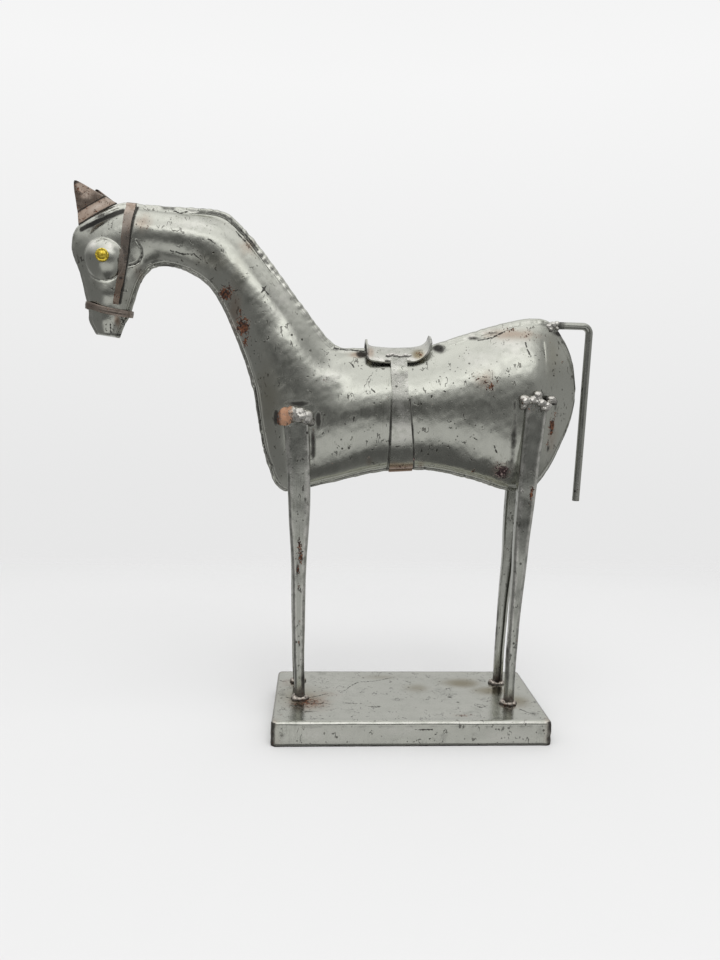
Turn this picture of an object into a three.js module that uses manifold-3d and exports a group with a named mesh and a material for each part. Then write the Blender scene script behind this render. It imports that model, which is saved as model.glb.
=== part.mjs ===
// A horse welded from scrap sheet steel, standing on a folded sheet plinth.
//
// Millimetres, +Z up. The horse faces -X, its left side faces -Y. The origin is
// the centre of the whole work's footprint box, on the surface it stands on.

import * as THREE from 'three';
import { mergeVertices } from 'three/addons/utils/BufferGeometryUtils.js';
import Module from 'manifold-3d';

const wasm = await Module();
wasm.setup();

// ---------------------------------------------------------------- driving dimensions

const GAP = 0.3;                      // clearance between pieces that touch

const PLINTH = {
  centreX: 68, length: 240, depth: 108, height: 22,
  wall: 2, cornerRadius: 4.5, bendRadius: 3, arcSteps: 4,
};

const HORSE_Y = 7;                    // plane of the seam between the two body sheets
const SHEET = 1.2;                    // thickness of the body sheet at its rim
const RIDGE = 0.48;                   // how far down a section its widest line runs
const ROOF_POWER = 0.74;              // below 1/2 is boxy, 1 is a plain parabola
const UNDER_FLANGE = 1.5;             // flat rim along the throat, chest and belly
const STEPS_BETWEEN_STATIONS = 2;
const STEPS_ACROSS = 12;

// Cross-sections of the body from the lips to the rump: the point on the top line
// and on the under line (x, z), the half thickness of the swell between them, and
// the width of the flat rim along the top line.
const STATIONS = [
  { place: 'lips', top: [-205.2, 340.2], under: [-187.2, 337.8], swell: 5.5, rim: 1.5 },
  { place: 'nose', top: [-210.4, 351], under: [-182.4, 349.5], swell: 8, rim: 1.5 },
  { place: 'noseband', top: [-211, 362], under: [-178, 357.6], swell: 8.8, rim: 1.5 },
  { place: 'cheek', top: [-216.2, 388], under: [-168.5, 384.5], swell: 10.5, rim: 1.5 },
  { place: 'forehead', top: [-222.8, 410.2], under: [-160.5, 395], swell: 11.5, rim: 1.5 },
  { place: 'brow', top: [-216.4, 428.8], under: [-156, 397.8], swell: 11.5, rim: 1.5 },
  { place: 'poll', top: [-185.6, 445.8], under: [-149.5, 399.4], swell: 12, rim: 1.5 },
  { place: 'nape', top: [-160, 445.8], under: [-140.5, 398.8], swell: 12.5, rim: 2 },
  { place: 'crest', top: [-127, 444.6], under: [-129.5, 395.8], swell: 12.5, rim: 3 },
  { place: 'hump', top: [-99.3, 442.6], under: [-118, 389.6], swell: 13, rim: 6 },
  { place: 'upper neck', top: [-79.5, 426.8], under: [-107.8, 380.3], swell: 13.5, rim: 5 },
  { place: 'mid neck', top: [-57, 399.2], under: [-97, 362], swell: 15, rim: 3 },
  { place: 'lower neck', top: [-29.5, 364], under: [-84, 331.5], swell: 17.5, rim: 2 },
  { place: 'neck root', top: [-12, 342.4], under: [-72.6, 298], swell: 19.5, rim: 2 },
  { place: 'withers', top: [0, 333.9], under: [-66.5, 262], swell: 20, rim: 2 },
  { place: 'chest', top: [12, 333.4], under: [-59.6, 233], swell: 20, rim: 2 },
  { place: 'brisket', top: [24, 333.4], under: [-46, 210.2], swell: 20, rim: 2 },
  { place: 'elbow', top: [34, 333.4], under: [-8, 217], swell: 20.5, rim: 2 },
  { place: 'ribs', top: [42, 333.4], under: [25, 225.6], swell: 21, rim: 2 },
  { place: 'girth', top: [49.5, 333.6], under: [58.5, 230.8], swell: 21.5, rim: 2 },
  { place: 'flank', top: [75, 336], under: [93, 229], swell: 21.5, rim: 2 },
  { place: 'loin', top: [104, 345], under: [127, 221.4], swell: 21, rim: 2 },
  { place: 'hip', top: [140, 356.8], under: [154.5, 213.4], swell: 20, rim: 2 },
  { place: 'croup', top: [168.5, 362.9], under: [176.5, 215.8], swell: 18.5, rim: 3 },
  { place: 'tail root', top: [185.6, 360], under: [190, 231.8], swell: 13, rim: 5 },
  { place: 'rump', top: [199.3, 343.7], under: [201, 256], swell: 7, rim: 6 },
  { place: 'buttock', top: [207.2, 326], under: [208.2, 277], swell: 3, rim: 6 },
  { place: 'rump edge', top: [210.8, 305], under: [210.9, 293], swell: 1.4, rim: 3 },
];

const EYE = { x: -195.6, z: 400.8, domeRadius: 16.6, domeHeight: 5.5 };
const NAIL = { x: -194.5, z: 403, radius: 5.5, height: 2.6, rimHeight: 1.5, sides: 14 };

const STRAP_GAP = 0.85;               // a strap's clearance over the hammered sheet
const NOSEBAND = { width: 5.6, thickness: 1.4, flare: 0.06, squareness: 0.8, steps: 28 };
const HEADSTALL = {
  foot: [-186.8, 366.5], knee: [-179.4, 400], head: [-173.6, 444],
  footWidth: 4.2, headWidth: 7.6, thickness: 1.2, lean: -0.06, rows: 14,
  overPoll: 2.2, pollHalfGap: 1.8,
};

const EAR = {
  tipLeft: [-217.1, 9, 461.6], tipRight: [-206.3, 9, 460.4],
  front: [-213.2, 13, 426], rear: [-185, 5.5, 446],
  tipWidth: 1, bulge: 2.5, hem: 2.2, thickness: 1.3, rows: 6, columns: 8,
};

const SADDLE = {
  spine: [[22.8, 342.6], [23.4, 338.6], [27, 335.5], [36, 334.3], [50, 334.3],
    [64, 335.1], [72.6, 337.4], [77.6, 341.6], [79.6, 346.6]],
  halfWidth: 14, drop: 12, dropPower: 1.7, rearLift: 0.42,
  thickness: 1.8, rows: 14, columns: 8,
};

// The girth lies between two cross-sections, given as steps from the girth station.
const GIRTH = {
  front: -0.355, rear: 0.26, thickness: 1.4, topZ: 328.6, topBehind: 2.2,
  tightFrom: 0.4, steps: 12,
};

const LEG_SHEET = 1.8;
const LEG_BEND = 3.4;                 // outer radius of the folds of a leg
const LEG_BEND_STEPS = 3;
const FLANGE_BASE = 2.4;              // a leg's flange is this deep plus a share
const FLANGE_SHARE = 0.45;            // of the leg's width at that height
const LEG_ROWS = 9;
const FOOT_Z = PLINTH.height + GAP;
// Centre line (x, z) and width of a leg's outer face, from its top to its foot.
const FRONT_LEG = [[-35.2, 276.4, 21.4], [-32.1, 212.6, 19.6], [-31.4, 142, 13.3],
  [-30.9, 88, 10.6], [-29.1, FOOT_Z, 9]];
const REAR_LEG = [[171.4, 293, 20], [166.9, 224, 16.9], [162, 118, 10.4],
  [160.3, 70, 9], [159.3, FOOT_Z, 8.8]];
const LEG_TOP_OFFSET = 22.4;          // from the seam plane to a leg's outer face
const LEGS = [
  { name: 'leg_front_left', side: -1, line: FRONT_LEG, footOffset: 18, footShift: 0 },
  { name: 'leg_front_right', side: 1, line: FRONT_LEG, footOffset: 26, footShift: -3 },
  { name: 'leg_rear_left', side: -1, line: REAR_LEG, footOffset: 28.7, footShift: 0 },
  { name: 'leg_rear_right', side: 1, line: REAR_LEG, footOffset: 21, footShift: 0 },
];

const LEG_WELD = { halfLength: 15.8, halfHeight: 8.8, halfDepth: 5.4, below: 1.5, inset: 0.5 };
const FOOT_WELD = { halfLength: 8, halfHeight: 4.4, halfDepth: 7, inset: 3.2 };
const TAIL_WELD = { centre: [186.6, 357.6], halfLength: 6.4, halfHeight: 5, halfDepth: 5 };
const WELD_ROUGHNESS = 0.11;
const WELD_SEGMENTS = [12, 7];

const TAIL = {
  radius: 3.175, sides: 12, bend: 6.4, bendSteps: 5,
  start: [191.6, 359.3], corner: [220.5, 359.3], end: [218.5, 204.2],
};

// ---------------------------------------------------------------- materials

function steel(color, roughness, metalness = 0.9) {
  return new THREE.MeshStandardMaterial({ color, roughness, metalness });
}

const sheetSteel = steel(0x8f918c, 0.42);
const darkSteel = steel(0x6d6964, 0.5);
const weldSteel = steel(0x9a958d, 0.55);
const plinthSteel = steel(0x7f817c, 0.4);
const brass = steel(0xc9a832, 0.35);

// ---------------------------------------------------------------- mesh helpers

// A closed body from its corner points and triangles, turned to face outwards.
function closedBody(points, triangles) {
  let volume = 0;
  for (const [a, b, c] of triangles) {
    volume += points[a].dot(new THREE.Vector3().crossVectors(points[b], points[c]));
  }
  const outward = volume > 0 ? triangles : triangles.map(([a, b, c]) => [a, c, b]);
  const geometry = new THREE.BufferGeometry().setFromPoints(points);
  geometry.setIndex(outward.flat());
  geometry.computeVertexNormals();
  return geometry;
}

function quad(a, b, c, d) {
  return [[a, b, c], [a, c, d]];
}

// A body lofted through rings with the same number of points, capped at both ends.
// Every ring lies flat, and capShape gives a ring's outline in its own plane.
function loftedBody(rings, capShape) {
  const count = rings[0].length;
  const last = rings.length - 1;
  const triangles = [];
  for (let row = 0; row < last; row += 1) {
    for (let k = 0; k < count; k += 1) {
      const next = (k + 1) % count;
      const low = row * count;
      const high = low + count;
      triangles.push(...quad(low + k, low + next, high + next, high + k));
    }
  }
  for (const [a, b, c] of THREE.ShapeUtils.triangulateShape(capShape(rings[0]), [])) {
    triangles.push([a, c, b]);
  }
  for (const [a, b, c] of THREE.ShapeUtils.triangulateShape(capShape(rings[last]), [])) {
    triangles.push([last * count + a, last * count + b, last * count + c]);
  }
  return closedBody(rings.flat(), triangles);
}

// A sheet of even thickness on a grid of points. A looped sheet joins its last row
// to its first. The thickness grows to the side that towards() points to.
function sheetBody(grid, thickness, towards, looped = false) {
  const rows = grid.length;
  const columns = grid[0].length;
  const rowAt = (i) => (looped ? (i + rows) % rows : Math.min(Math.max(i, 0), rows - 1));
  const columnAt = (j) => Math.min(Math.max(j, 0), columns - 1);
  const inner = [];
  const outer = [];
  for (let i = 0; i < rows; i += 1) {
    for (let j = 0; j < columns; j += 1) {
      const along = grid[rowAt(i + 1)][j].clone().sub(grid[rowAt(i - 1)][j]);
      const across = grid[i][columnAt(j + 1)].clone().sub(grid[i][columnAt(j - 1)]);
      const normal = along.cross(across).normalize();
      if (normal.dot(towards(grid[i][j])) < 0) normal.negate();
      inner.push(grid[i][j]);
      outer.push(grid[i][j].clone().addScaledVector(normal, thickness));
    }
  }
  const shift = inner.length;
  const at = (i, j) => rowAt(i) * columns + j;
  const triangles = [];
  const rowSteps = looped ? rows : rows - 1;
  for (let i = 0; i < rowSteps; i += 1) {
    for (let j = 0; j < columns - 1; j += 1) {
      const corners = [at(i, j), at(i + 1, j), at(i + 1, j + 1), at(i, j + 1)];
      triangles.push(...quad(...corners));
      triangles.push(...quad(...corners.map((k) => k + shift).reverse()));
    }
    for (const [j, turn] of [[0, 1], [columns - 1, -1]]) {
      const side = [at(i, j), at(i, j) + shift, at(i + 1, j) + shift, at(i + 1, j)];
      triangles.push(...quad(...(turn > 0 ? side : side.reverse())));
    }
  }
  if (!looped) {
    for (let j = 0; j < columns - 1; j += 1) {
      const last = rows - 1;
      triangles.push(...quad(at(0, j), at(0, j + 1), at(0, j + 1) + shift, at(0, j) + shift));
      triangles.push(...quad(
        at(last, j) + shift, at(last, j + 1) + shift, at(last, j + 1), at(last, j)));
    }
  }
  return closedBody([...inner, ...outer], triangles);
}

function toManifold(geometry) {
  const bare = geometry.clone();
  bare.deleteAttribute('normal');
  bare.deleteAttribute('uv');
  const merged = mergeVertices(bare, 1e-4);
  return new wasm.Manifold(new wasm.Mesh({
    numProp: 3,
    vertProperties: new Float32Array(merged.attributes.position.array),
    triVerts: new Uint32Array(merged.index.array),
  }));
}

// The largest single piece of a cut solid.
function fromManifold(solid) {
  const [largest] = solid.decompose().sort((a, b) => b.volume() - a.volume());
  const mesh = largest.getMesh();
  const positions = new Float32Array(mesh.vertProperties);
  const geometry = new THREE.BufferGeometry();
  geometry.setAttribute('position', new THREE.BufferAttribute(positions, 3));
  geometry.setIndex(new THREE.BufferAttribute(new Uint32Array(mesh.triVerts), 1));
  geometry.computeVertexNormals();
  return geometry;
}

function cut(geometry, ...tools) {
  let solid = toManifold(geometry);
  for (const tool of tools) solid = solid.subtract(toManifold(tool));
  return fromManifold(solid);
}

function smoothstep(low, high, value) {
  return THREE.MathUtils.smoothstep(value, low, high);
}

function signedPower(value, power) {
  return Math.sign(value) * Math.abs(value) ** power;
}

function spline(points) {
  return new THREE.CatmullRomCurve3(points, false, 'catmullrom', 0.5);
}

function outwards(point) {
  return new THREE.Vector3(0, Math.sign(point.y - HORSE_Y) || 1, 0);
}

// ---------------------------------------------------------------- body form

const topLine = spline(STATIONS.map(({ top }) => new THREE.Vector3(top[0], 0, top[1])));
const underLine = spline(STATIONS.map(({ under }) => new THREE.Vector3(under[0], 0, under[1])));
const swellLine = spline(STATIONS.map(({ swell, rim }) => new THREE.Vector3(swell, rim, 0)));
const LAST_STATION = STATIONS.length - 1;

function stationNumber(place) {
  return STATIONS.findIndex((station) => station.place === place);
}

// Share of the full swell at a share of the way down from the top line: a sloping
// roof above the ridge, a round belly below it, and a flat rim at either edge.
function swellShare(down, width, rim) {
  const start = rim / width;
  const end = 1 - UNDER_FLANGE / width;
  if (down <= start || down >= end) return 0;
  const share = (down - start) / (end - start);
  if (share < RIDGE) return (1 - (1 - share / RIDGE) ** 2) ** ROOF_POWER;
  return Math.sqrt(1 - ((share - RIDGE) / (1 - RIDGE)) ** 2);
}

function eyeDome(x, z) {
  const distance = Math.hypot(x - EYE.x, z - EYE.z) / EYE.domeRadius;
  return distance < 1 ? EYE.domeHeight * Math.sqrt(1 - distance ** 2) ** 1.5 : 0;
}

// Point of the body's skin: station is a place between two stations, down runs
// from 0 on the top line to 1 on the under line. Y is the half thickness there.
function skinPoint(station, down) {
  const along = THREE.MathUtils.clamp(station / LAST_STATION, 0, 1);
  const top = topLine.getPoint(along);
  const under = underLine.getPoint(along);
  const { x: swell, y: rim } = swellLine.getPoint(along);
  const point = top.clone().lerp(under, down);
  const raised = (swell - SHEET) * swellShare(down, top.distanceTo(under), rim);
  point.y = GAP / 2 + SHEET + raised + eyeDome(point.x, point.z);
  return point;
}

const SKIN_ROWS = LAST_STATION * STEPS_BETWEEN_STATIONS;

function downAt(step) {
  return (1 - Math.cos((Math.PI * step) / STEPS_ACROSS)) / 2;
}

const skin = Array.from({ length: SKIN_ROWS + 1 }, (_, row) => (
  Array.from({ length: STEPS_ACROSS + 1 }, (__, step) => (
    skinPoint(row / STEPS_BETWEEN_STATIONS, downAt(step))))));

// Half thickness of the body beside a point of the seam plane, 0 outside its outline.
function halfThicknessAt(x, z) {
  for (let row = 0; row < SKIN_ROWS; row += 1) {
    for (let step = 0; step < STEPS_ACROSS; step += 1) {
      const corners = [skin[row][step], skin[row + 1][step],
        skin[row + 1][step + 1], skin[row][step + 1]];
      for (const [a, b, c] of [[0, 1, 2], [0, 2, 3]]) {
        const [p, q, r] = [corners[a], corners[b], corners[c]];
        const area = (q.x - p.x) * (r.z - p.z) - (r.x - p.x) * (q.z - p.z);
        const toR = ((q.x - p.x) * (z - p.z) - (x - p.x) * (q.z - p.z)) / area;
        const toQ = ((x - p.x) * (r.z - p.z) - (r.x - p.x) * (z - p.z)) / area;
        if (toQ >= 0 && toR >= 0 && toQ + toR <= 1) {
          return p.y + toQ * (q.y - p.y) + toR * (r.y - p.y);
        }
      }
    }
  }
  return 0;
}

// One pressed half of the body, filled up to the seam plane.
function bodyHalf(side, grow = 0) {
  const outer = skin.flat().map(({ x, y, z }) => (
    new THREE.Vector3(x, HORSE_Y + side * (y + grow), z)));
  const seamY = HORSE_Y + side * (GAP / 2);
  const rims = skin.flatMap((row) => [row[0], row[STEPS_ACROSS]]);
  const points = [...outer, ...rims.map(({ x, z }) => new THREE.Vector3(x, seamY, z))];
  const seamStart = outer.length;
  const at = (row, step) => row * (STEPS_ACROSS + 1) + step;
  const seam = (row, edge) => seamStart + row * 2 + edge;
  const triangles = [];
  for (let row = 0; row < SKIN_ROWS; row += 1) {
    for (let step = 0; step < STEPS_ACROSS; step += 1) {
      triangles.push(...quad(
        at(row, step), at(row + 1, step), at(row + 1, step + 1), at(row, step + 1)));
    }
    triangles.push(...quad(seam(row, 0), seam(row, 1), seam(row + 1, 1), seam(row + 1, 0)));
    triangles.push(...quad(seam(row, 0), seam(row + 1, 0), at(row + 1, 0), at(row, 0)));
    triangles.push(...quad(
      seam(row, 1), at(row, STEPS_ACROSS), at(row + 1, STEPS_ACROSS), seam(row + 1, 1)));
  }
  for (let step = 0; step < STEPS_ACROSS; step += 1) {
    triangles.push([seam(0, 0), at(0, step), at(0, step + 1)]);
    triangles.push([seam(SKIN_ROWS, 0), at(SKIN_ROWS, step + 1), at(SKIN_ROWS, step)]);
  }
  triangles.push([seam(0, 0), at(0, STEPS_ACROSS), seam(0, 1)]);
  triangles.push([seam(SKIN_ROWS, 0), seam(SKIN_ROWS, 1), at(SKIN_ROWS, STEPS_ACROSS)]);
  return closedBody(points, triangles);
}

// ---------------------------------------------------------------- pieces

function roundedRectangle(halfLength, halfDepth, radius, z) {
  const ring = [];
  const corners = [[1, 1, 0], [-1, 1, 1], [-1, -1, 2], [1, -1, 3]];
  for (const [sideX, sideY, quarter] of corners) {
    for (let k = 0; k <= PLINTH.arcSteps; k += 1) {
      const angle = (Math.PI / 2) * (quarter + k / PLINTH.arcSteps);
      ring.push(new THREE.Vector3(
        PLINTH.centreX + sideX * (halfLength - radius) + radius * Math.cos(angle),
        sideY * (halfDepth - radius) + radius * Math.sin(angle), z));
    }
  }
  return ring;
}

// A sheet folded down on all four sides, hollow and open underneath.
function plinth() {
  const { length, depth, height, wall, cornerRadius, bendRadius, arcSteps } = PLINTH;
  const loop = (inset, z) => roundedRectangle(
    length / 2 - inset, depth / 2 - inset, Math.max(cornerRadius - inset, 1), z);
  const rings = [loop(wall, height - wall), loop(wall, 0), loop(0, 0)];
  for (let k = 0; k <= arcSteps; k += 1) {
    const angle = (Math.PI / 2) * (k / arcSteps);
    rings.push(loop(
      bendRadius * (1 - Math.cos(angle)), height - bendRadius * (1 - Math.sin(angle))));
  }
  return loftedBody(rings, (ring) => ring.map(({ x, y }) => new THREE.Vector2(x, y)));
}

// Outline of a leg's channel section: x along the outer face, y towards the horse.
function channelOutline(width, grow) {
  const outer = width / 2 + grow;
  const inner = outer - LEG_SHEET - 2 * grow;
  const depth = FLANGE_BASE + FLANGE_SHARE * width + grow;
  const floor = LEG_SHEET + grow;
  const bend = LEG_BEND + grow;
  const innerBend = Math.max(LEG_BEND - LEG_SHEET - grow, 0.2);
  const half = [new THREE.Vector2(outer, depth)];
  for (let k = 0; k <= LEG_BEND_STEPS; k += 1) {
    const angle = (Math.PI / 2) * (k / LEG_BEND_STEPS);
    half.push(new THREE.Vector2(
      outer - bend * (1 - Math.cos(angle)), -grow + bend * (1 - Math.sin(angle))));
  }
  const inside = [
    new THREE.Vector2(inner, depth),
    new THREE.Vector2(inner, floor + innerBend),
    new THREE.Vector2(inner - innerBend, floor),
  ];
  const mirrored = (points) => points.map(({ x, y }) => new THREE.Vector2(-x, y));
  return [...mirrored(half), ...half.reverse(), ...inside, ...mirrored(inside).reverse()];
}

// A leg folded from sheet, tapering to the foot, open towards the other leg.
function leg({ side, line, footOffset, footShift }, grow = 0) {
  const run = spline(line.map(([x, z, width]) => new THREE.Vector3(x, z, width)));
  const rings = [];
  const outlines = [];
  for (let row = 0; row <= LEG_ROWS; row += 1) {
    const { x, y: z, z: width } = run.getPoint(row / LEG_ROWS);
    const fall = (line[0][1] - z) / (line[0][1] - FOOT_Z);
    const offset = THREE.MathUtils.lerp(LEG_TOP_OFFSET, footOffset, fall);
    const outline = channelOutline(width, grow);
    const reach = row === 0 ? grow : 0;
    outlines.push(outline);
    rings.push(outline.map((p) => new THREE.Vector3(
      x + footShift * fall + p.x, HORSE_Y + side * (offset - p.y), z + reach)));
  }
  return loftedBody(rings, (ring) => outlines[rings.indexOf(ring)]);
}

// A lump of weld metal: a rough ellipsoid.
function weldLump(centre, { halfLength, halfDepth, halfHeight }, phase) {
  const lump = new THREE.SphereGeometry(1, ...WELD_SEGMENTS);
  const position = lump.attributes.position;
  const point = new THREE.Vector3();
  for (let k = 0; k < position.count; k += 1) {
    point.fromBufferAttribute(position, k);
    const ripple = Math.sin(7 * point.x + phase) * Math.cos(5 * point.z - phase);
    point.multiplyScalar(1 + WELD_ROUGHNESS * ripple);
    position.setXYZ(k, point.x, point.y, point.z);
  }
  lump.scale(halfLength, halfDepth, halfHeight);
  lump.translate(...centre);
  return lump;
}

function legWeld(legSpec, phase) {
  const { side, line } = legSpec;
  const [x, z] = line[0];
  const centre = [x, HORSE_Y + side * (LEG_TOP_OFFSET - LEG_WELD.inset), z - LEG_WELD.below];
  const lump = weldLump(centre, LEG_WELD, phase);
  return cut(lump, bodyHalf(side, GAP), leg(legSpec, GAP));
}

function footWeld(legSpec, phase) {
  const { side, line, footOffset, footShift } = legSpec;
  const [footX, footZ] = line[line.length - 1];
  const centre = [footX + footShift, HORSE_Y + side * (footOffset - FOOT_WELD.inset), footZ];
  const lump = weldLump(centre, FOOT_WELD, phase);
  const size = 5 * FOOT_WELD.halfLength;
  const below = new THREE.BoxGeometry(size, size, size);
  below.translate(centre[0], centre[1], footZ - size / 2);
  return cut(lump, below, leg(legSpec, GAP));
}

// The tail: a round rod welded on at the croup, bent down through a right angle.
function tail(grow = 0) {
  const { sides, bend, bendSteps, start, corner, end } = TAIL;
  const radius = TAIL.radius + grow;
  const turn = Math.PI / 2 + Math.atan2(corner[0] - end[0], corner[1] - end[1]);
  const stops = [[...start, 0]];
  for (let k = 0; k <= bendSteps; k += 1) {
    const angle = (turn * k) / bendSteps;
    const x = corner[0] - bend * (1 - Math.sin(angle));
    const z = corner[1] - bend * (1 - Math.cos(angle));
    stops.push([x, z, angle]);
  }
  stops.push([...end, turn]);
  const circle = Array.from({ length: sides }, (_, k) => (2 * Math.PI * k) / sides);
  const rings = stops.map(([x, z, angle]) => circle.map((around) => {
    const out = radius * Math.cos(around);
    return new THREE.Vector3(
      x + out * Math.sin(angle), HORSE_Y + radius * Math.sin(around), z + out * Math.cos(angle));
  }));
  return loftedBody(rings, () => circle.map((around) => (
    new THREE.Vector2(Math.cos(around), Math.sin(around)))));
}

function tailWeld() {
  const [x, z] = TAIL_WELD.centre;
  const lump = weldLump([x, HORSE_Y, z], TAIL_WELD, 2);
  return cut(lump, bodyHalf(-1, GAP), bodyHalf(1, GAP), tail(GAP));
}

// A bent leaf of sheet, flared from the head, with its lower edge turned out.
function ear(side) {
  const { tipLeft, tipRight, front, rear, tipWidth, bulge, hem, thickness, rows, columns } = EAR;
  const place = ([x, offset, z]) => new THREE.Vector3(x, HORSE_Y + side * offset, z);
  const tipPoint = place(side < 0 ? tipLeft : tipRight);
  const alongBase = place(rear).sub(place(front)).normalize();
  const grid = [];
  for (let i = 0; i <= rows; i += 1) {
    const up = i / rows;
    const row = [];
    for (let j = 0; j <= columns; j += 1) {
      const back = j / columns;
      const base = place(front).lerp(place(rear), back);
      const tipEdge = tipPoint.clone().addScaledVector(alongBase, tipWidth * (back - 0.5));
      const point = base.lerp(tipEdge, up);
      const lip = hem * (1 - smoothstep(0, 0.3, up)) * Math.sin(Math.PI * back);
      point.y += side * (bulge * Math.sin(Math.PI * back) * Math.sin(Math.PI * up) + lip);
      row.push(point);
    }
    grid.push(row);
  }
  return sheetBody(grid, thickness, outwards);
}

function eyeNail(side) {
  const { x, z, radius, height, rimHeight, sides } = NAIL;
  const profile = [[0, 0], [radius - 0.2, 0], [radius, 0.6], [radius - 0.4, rimHeight],
    [radius - 1.2, rimHeight - 0.1], [radius - 1.9, rimHeight - 0.3],
    [radius - 3, height - 0.5], [radius - 4.4, height - 0.1], [0, height]];
  const geometry = new THREE.LatheGeometry(
    profile.map(([r, h]) => new THREE.Vector2(r, h)), sides);
  if (side < 0) geometry.rotateX(Math.PI);
  geometry.translate(x, HORSE_Y + side * (halfThicknessAt(x, z) + STRAP_GAP), z);
  return geometry;
}

// A closed band round the nose, a little wider at its upper edge.
function noseband() {
  const { width, thickness, flare, squareness, steps } = NOSEBAND;
  const { top, under, swell } = STATIONS[stationNumber('noseband')];
  const front = new THREE.Vector3(top[0], HORSE_Y, top[1]);
  const rear = new THREE.Vector3(under[0], HORSE_Y, under[1]);
  const centre = front.clone().lerp(rear, 0.5);
  const reach = front.distanceTo(rear) / 2 + STRAP_GAP + SHEET;
  const bulk = swell + STRAP_GAP + SHEET;
  const axis = rear.clone().sub(front).normalize();
  const upward = new THREE.Vector3(-axis.z, 0, axis.x);
  const grid = [];
  for (let k = 0; k < steps; k += 1) {
    const angle = (2 * Math.PI * k) / steps;
    const along = reach * signedPower(Math.cos(angle), squareness);
    const aside = bulk * signedPower(Math.sin(angle), squareness);
    grid.push([-1, 1].map((edge) => {
      const point = centre.clone().addScaledVector(axis, along);
      point.addScaledVector(upward, (edge * width) / 2);
      point.y += aside * (1 + flare * edge);
      return point;
    }));
  }
  return sheetBody(grid, thickness, (point) => point.clone().sub(centre), true);
}

// The strap from the noseband up one cheek, over the poll and down the other.
function headstall() {
  const { foot, knee, head, footWidth, headWidth, thickness, lean, rows } = HEADSTALL;
  const line = spline([foot, knee, head].map(([x, z]) => new THREE.Vector3(x, 0, z)));
  const cheek = [];
  for (let k = 0; k <= rows; k += 1) {
    const along = k / rows;
    const { x, z } = line.getPoint(along);
    const half = THREE.MathUtils.lerp(footWidth, headWidth, along) / 2;
    cheek.push([-half, 0, half].map((reach) => {
      const edge = new THREE.Vector3(x + reach, 0, z + lean * reach);
      edge.y = halfThicknessAt(edge.x, edge.z) + STRAP_GAP;
      return edge;
    }));
  }
  const overTop = cheek[rows].map(({ x, z }) => new THREE.Vector3(
    x, HEADSTALL.pollHalfGap, z + HEADSTALL.overPoll + STRAP_GAP));
  const oneSide = [...cheek, overTop];
  const onSide = (side) => oneSide.map((row) => row.map(
    ({ x, y, z }) => new THREE.Vector3(x, HORSE_Y + side * y, z)));
  const grid = [...onSide(-1), ...onSide(1).reverse()];
  const away = ({ y, z }) => new THREE.Vector3(0, y - HORSE_Y, 4 * Math.max(z - head[1], 0));
  return sheetBody(grid, thickness, away);
}

// The saddle: one plate with both ends turned up and both sides drawn down.
function saddle() {
  const { spine, halfWidth, drop, dropPower, rearLift, thickness, rows, columns } = SADDLE;
  const line = spline(spine.map(([x, z]) => new THREE.Vector3(x, HORSE_Y, z + GAP)));
  const grid = [];
  for (let i = 0; i <= rows; i += 1) {
    const along = i / rows;
    const ridge = line.getPoint(along);
    const fall = drop * (1 - rearLift * smoothstep(0.6, 1, along));
    grid.push(Array.from({ length: columns + 1 }, (_, j) => {
      const aside = (2 * j) / columns - 1;
      const sink = fall * Math.abs(aside) ** dropPower;
      return new THREE.Vector3(ridge.x, HORSE_Y + aside * halfWidth, ridge.z - sink);
    }));
  }
  return sheetBody(grid, thickness, () => new THREE.Vector3(0, 0, 1));
}

// The girth: a strap from one side of the saddle under the belly to the other,
// straight from the saddle's edge down to the swell, then close to the skin.
function girth() {
  const { front, rear, thickness, topZ, topBehind, tightFrom, steps } = GIRTH;
  const skirtY = SADDLE.halfWidth + SADDLE.thickness - 1 + 2 * GAP;
  const edges = [front, rear].map((reach) => {
    const station = stationNumber('girth') + reach;
    const edge = [];
    for (let k = 0; k <= steps; k += 1) {
      const down = tightFrom + (1 - tightFrom) * Math.sin((Math.PI / 2) * (k / steps));
      const point = skinPoint(station, down);
      point.y += STRAP_GAP;
      edge.push(point);
    }
    const { x, z } = edge[steps];
    const start = new THREE.Vector3(edge[0].x - topBehind, skirtY, topZ);
    const belly = new THREE.Vector3(x, SHEET / 2, z - STRAP_GAP - GAP);
    return [start, ...edge, belly];
  });
  const oneSide = edges[0].map((_, k) => [edges[0][k], edges[1][k]]);
  const onSide = (side) => oneSide.map((row) => row.map(
    ({ x, y, z }) => new THREE.Vector3(x, HORSE_Y + side * y, z)));
  const grid = [...onSide(-1), ...onSide(1).reverse()];
  const away = ({ y, z }) => new THREE.Vector3(0, y - HORSE_Y, 0.05 * (z - topZ));
  return sheetBody(grid, thickness, away);
}

// ---------------------------------------------------------------- assembly

const horse = new THREE.Group();

function add(name, geometry, material) {
  const mesh = new THREE.Mesh(geometry, material);
  mesh.name = name;
  horse.add(mesh);
}

add('plinth', plinth(), plinthSteel);
for (const [name, side] of [['left', -1], ['right', 1]]) {
  add(`body_${name}`, bodyHalf(side), sheetSteel);
  add(`ear_${name}`, ear(side), darkSteel);
  add(`eye_nail_${name}`, eyeNail(side), brass);
}
add('headstall', headstall(), darkSteel);
add('noseband', noseband(), darkSteel);
add('saddle', saddle(), sheetSteel);
add('girth', girth(), sheetSteel);
LEGS.forEach((spec, k) => {
  add(spec.name, cut(leg(spec), bodyHalf(spec.side, GAP)), sheetSteel);
  add(`${spec.name}_weld`, legWeld(spec, k), weldSteel);
  add(`${spec.name}_foot_weld`, footWeld(spec, k + 1), weldSteel);
});
add('tail', tail(), sheetSteel);
add('tail_weld', tailWeld(), weldSteel);

export default horse;
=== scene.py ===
"""Looks of a horse welded from scrap sheet steel, standing on a folded sheet plinth."""
import math
import bpy
import bmesh
import numpy as np
from mathutils import Matrix, Vector

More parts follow.
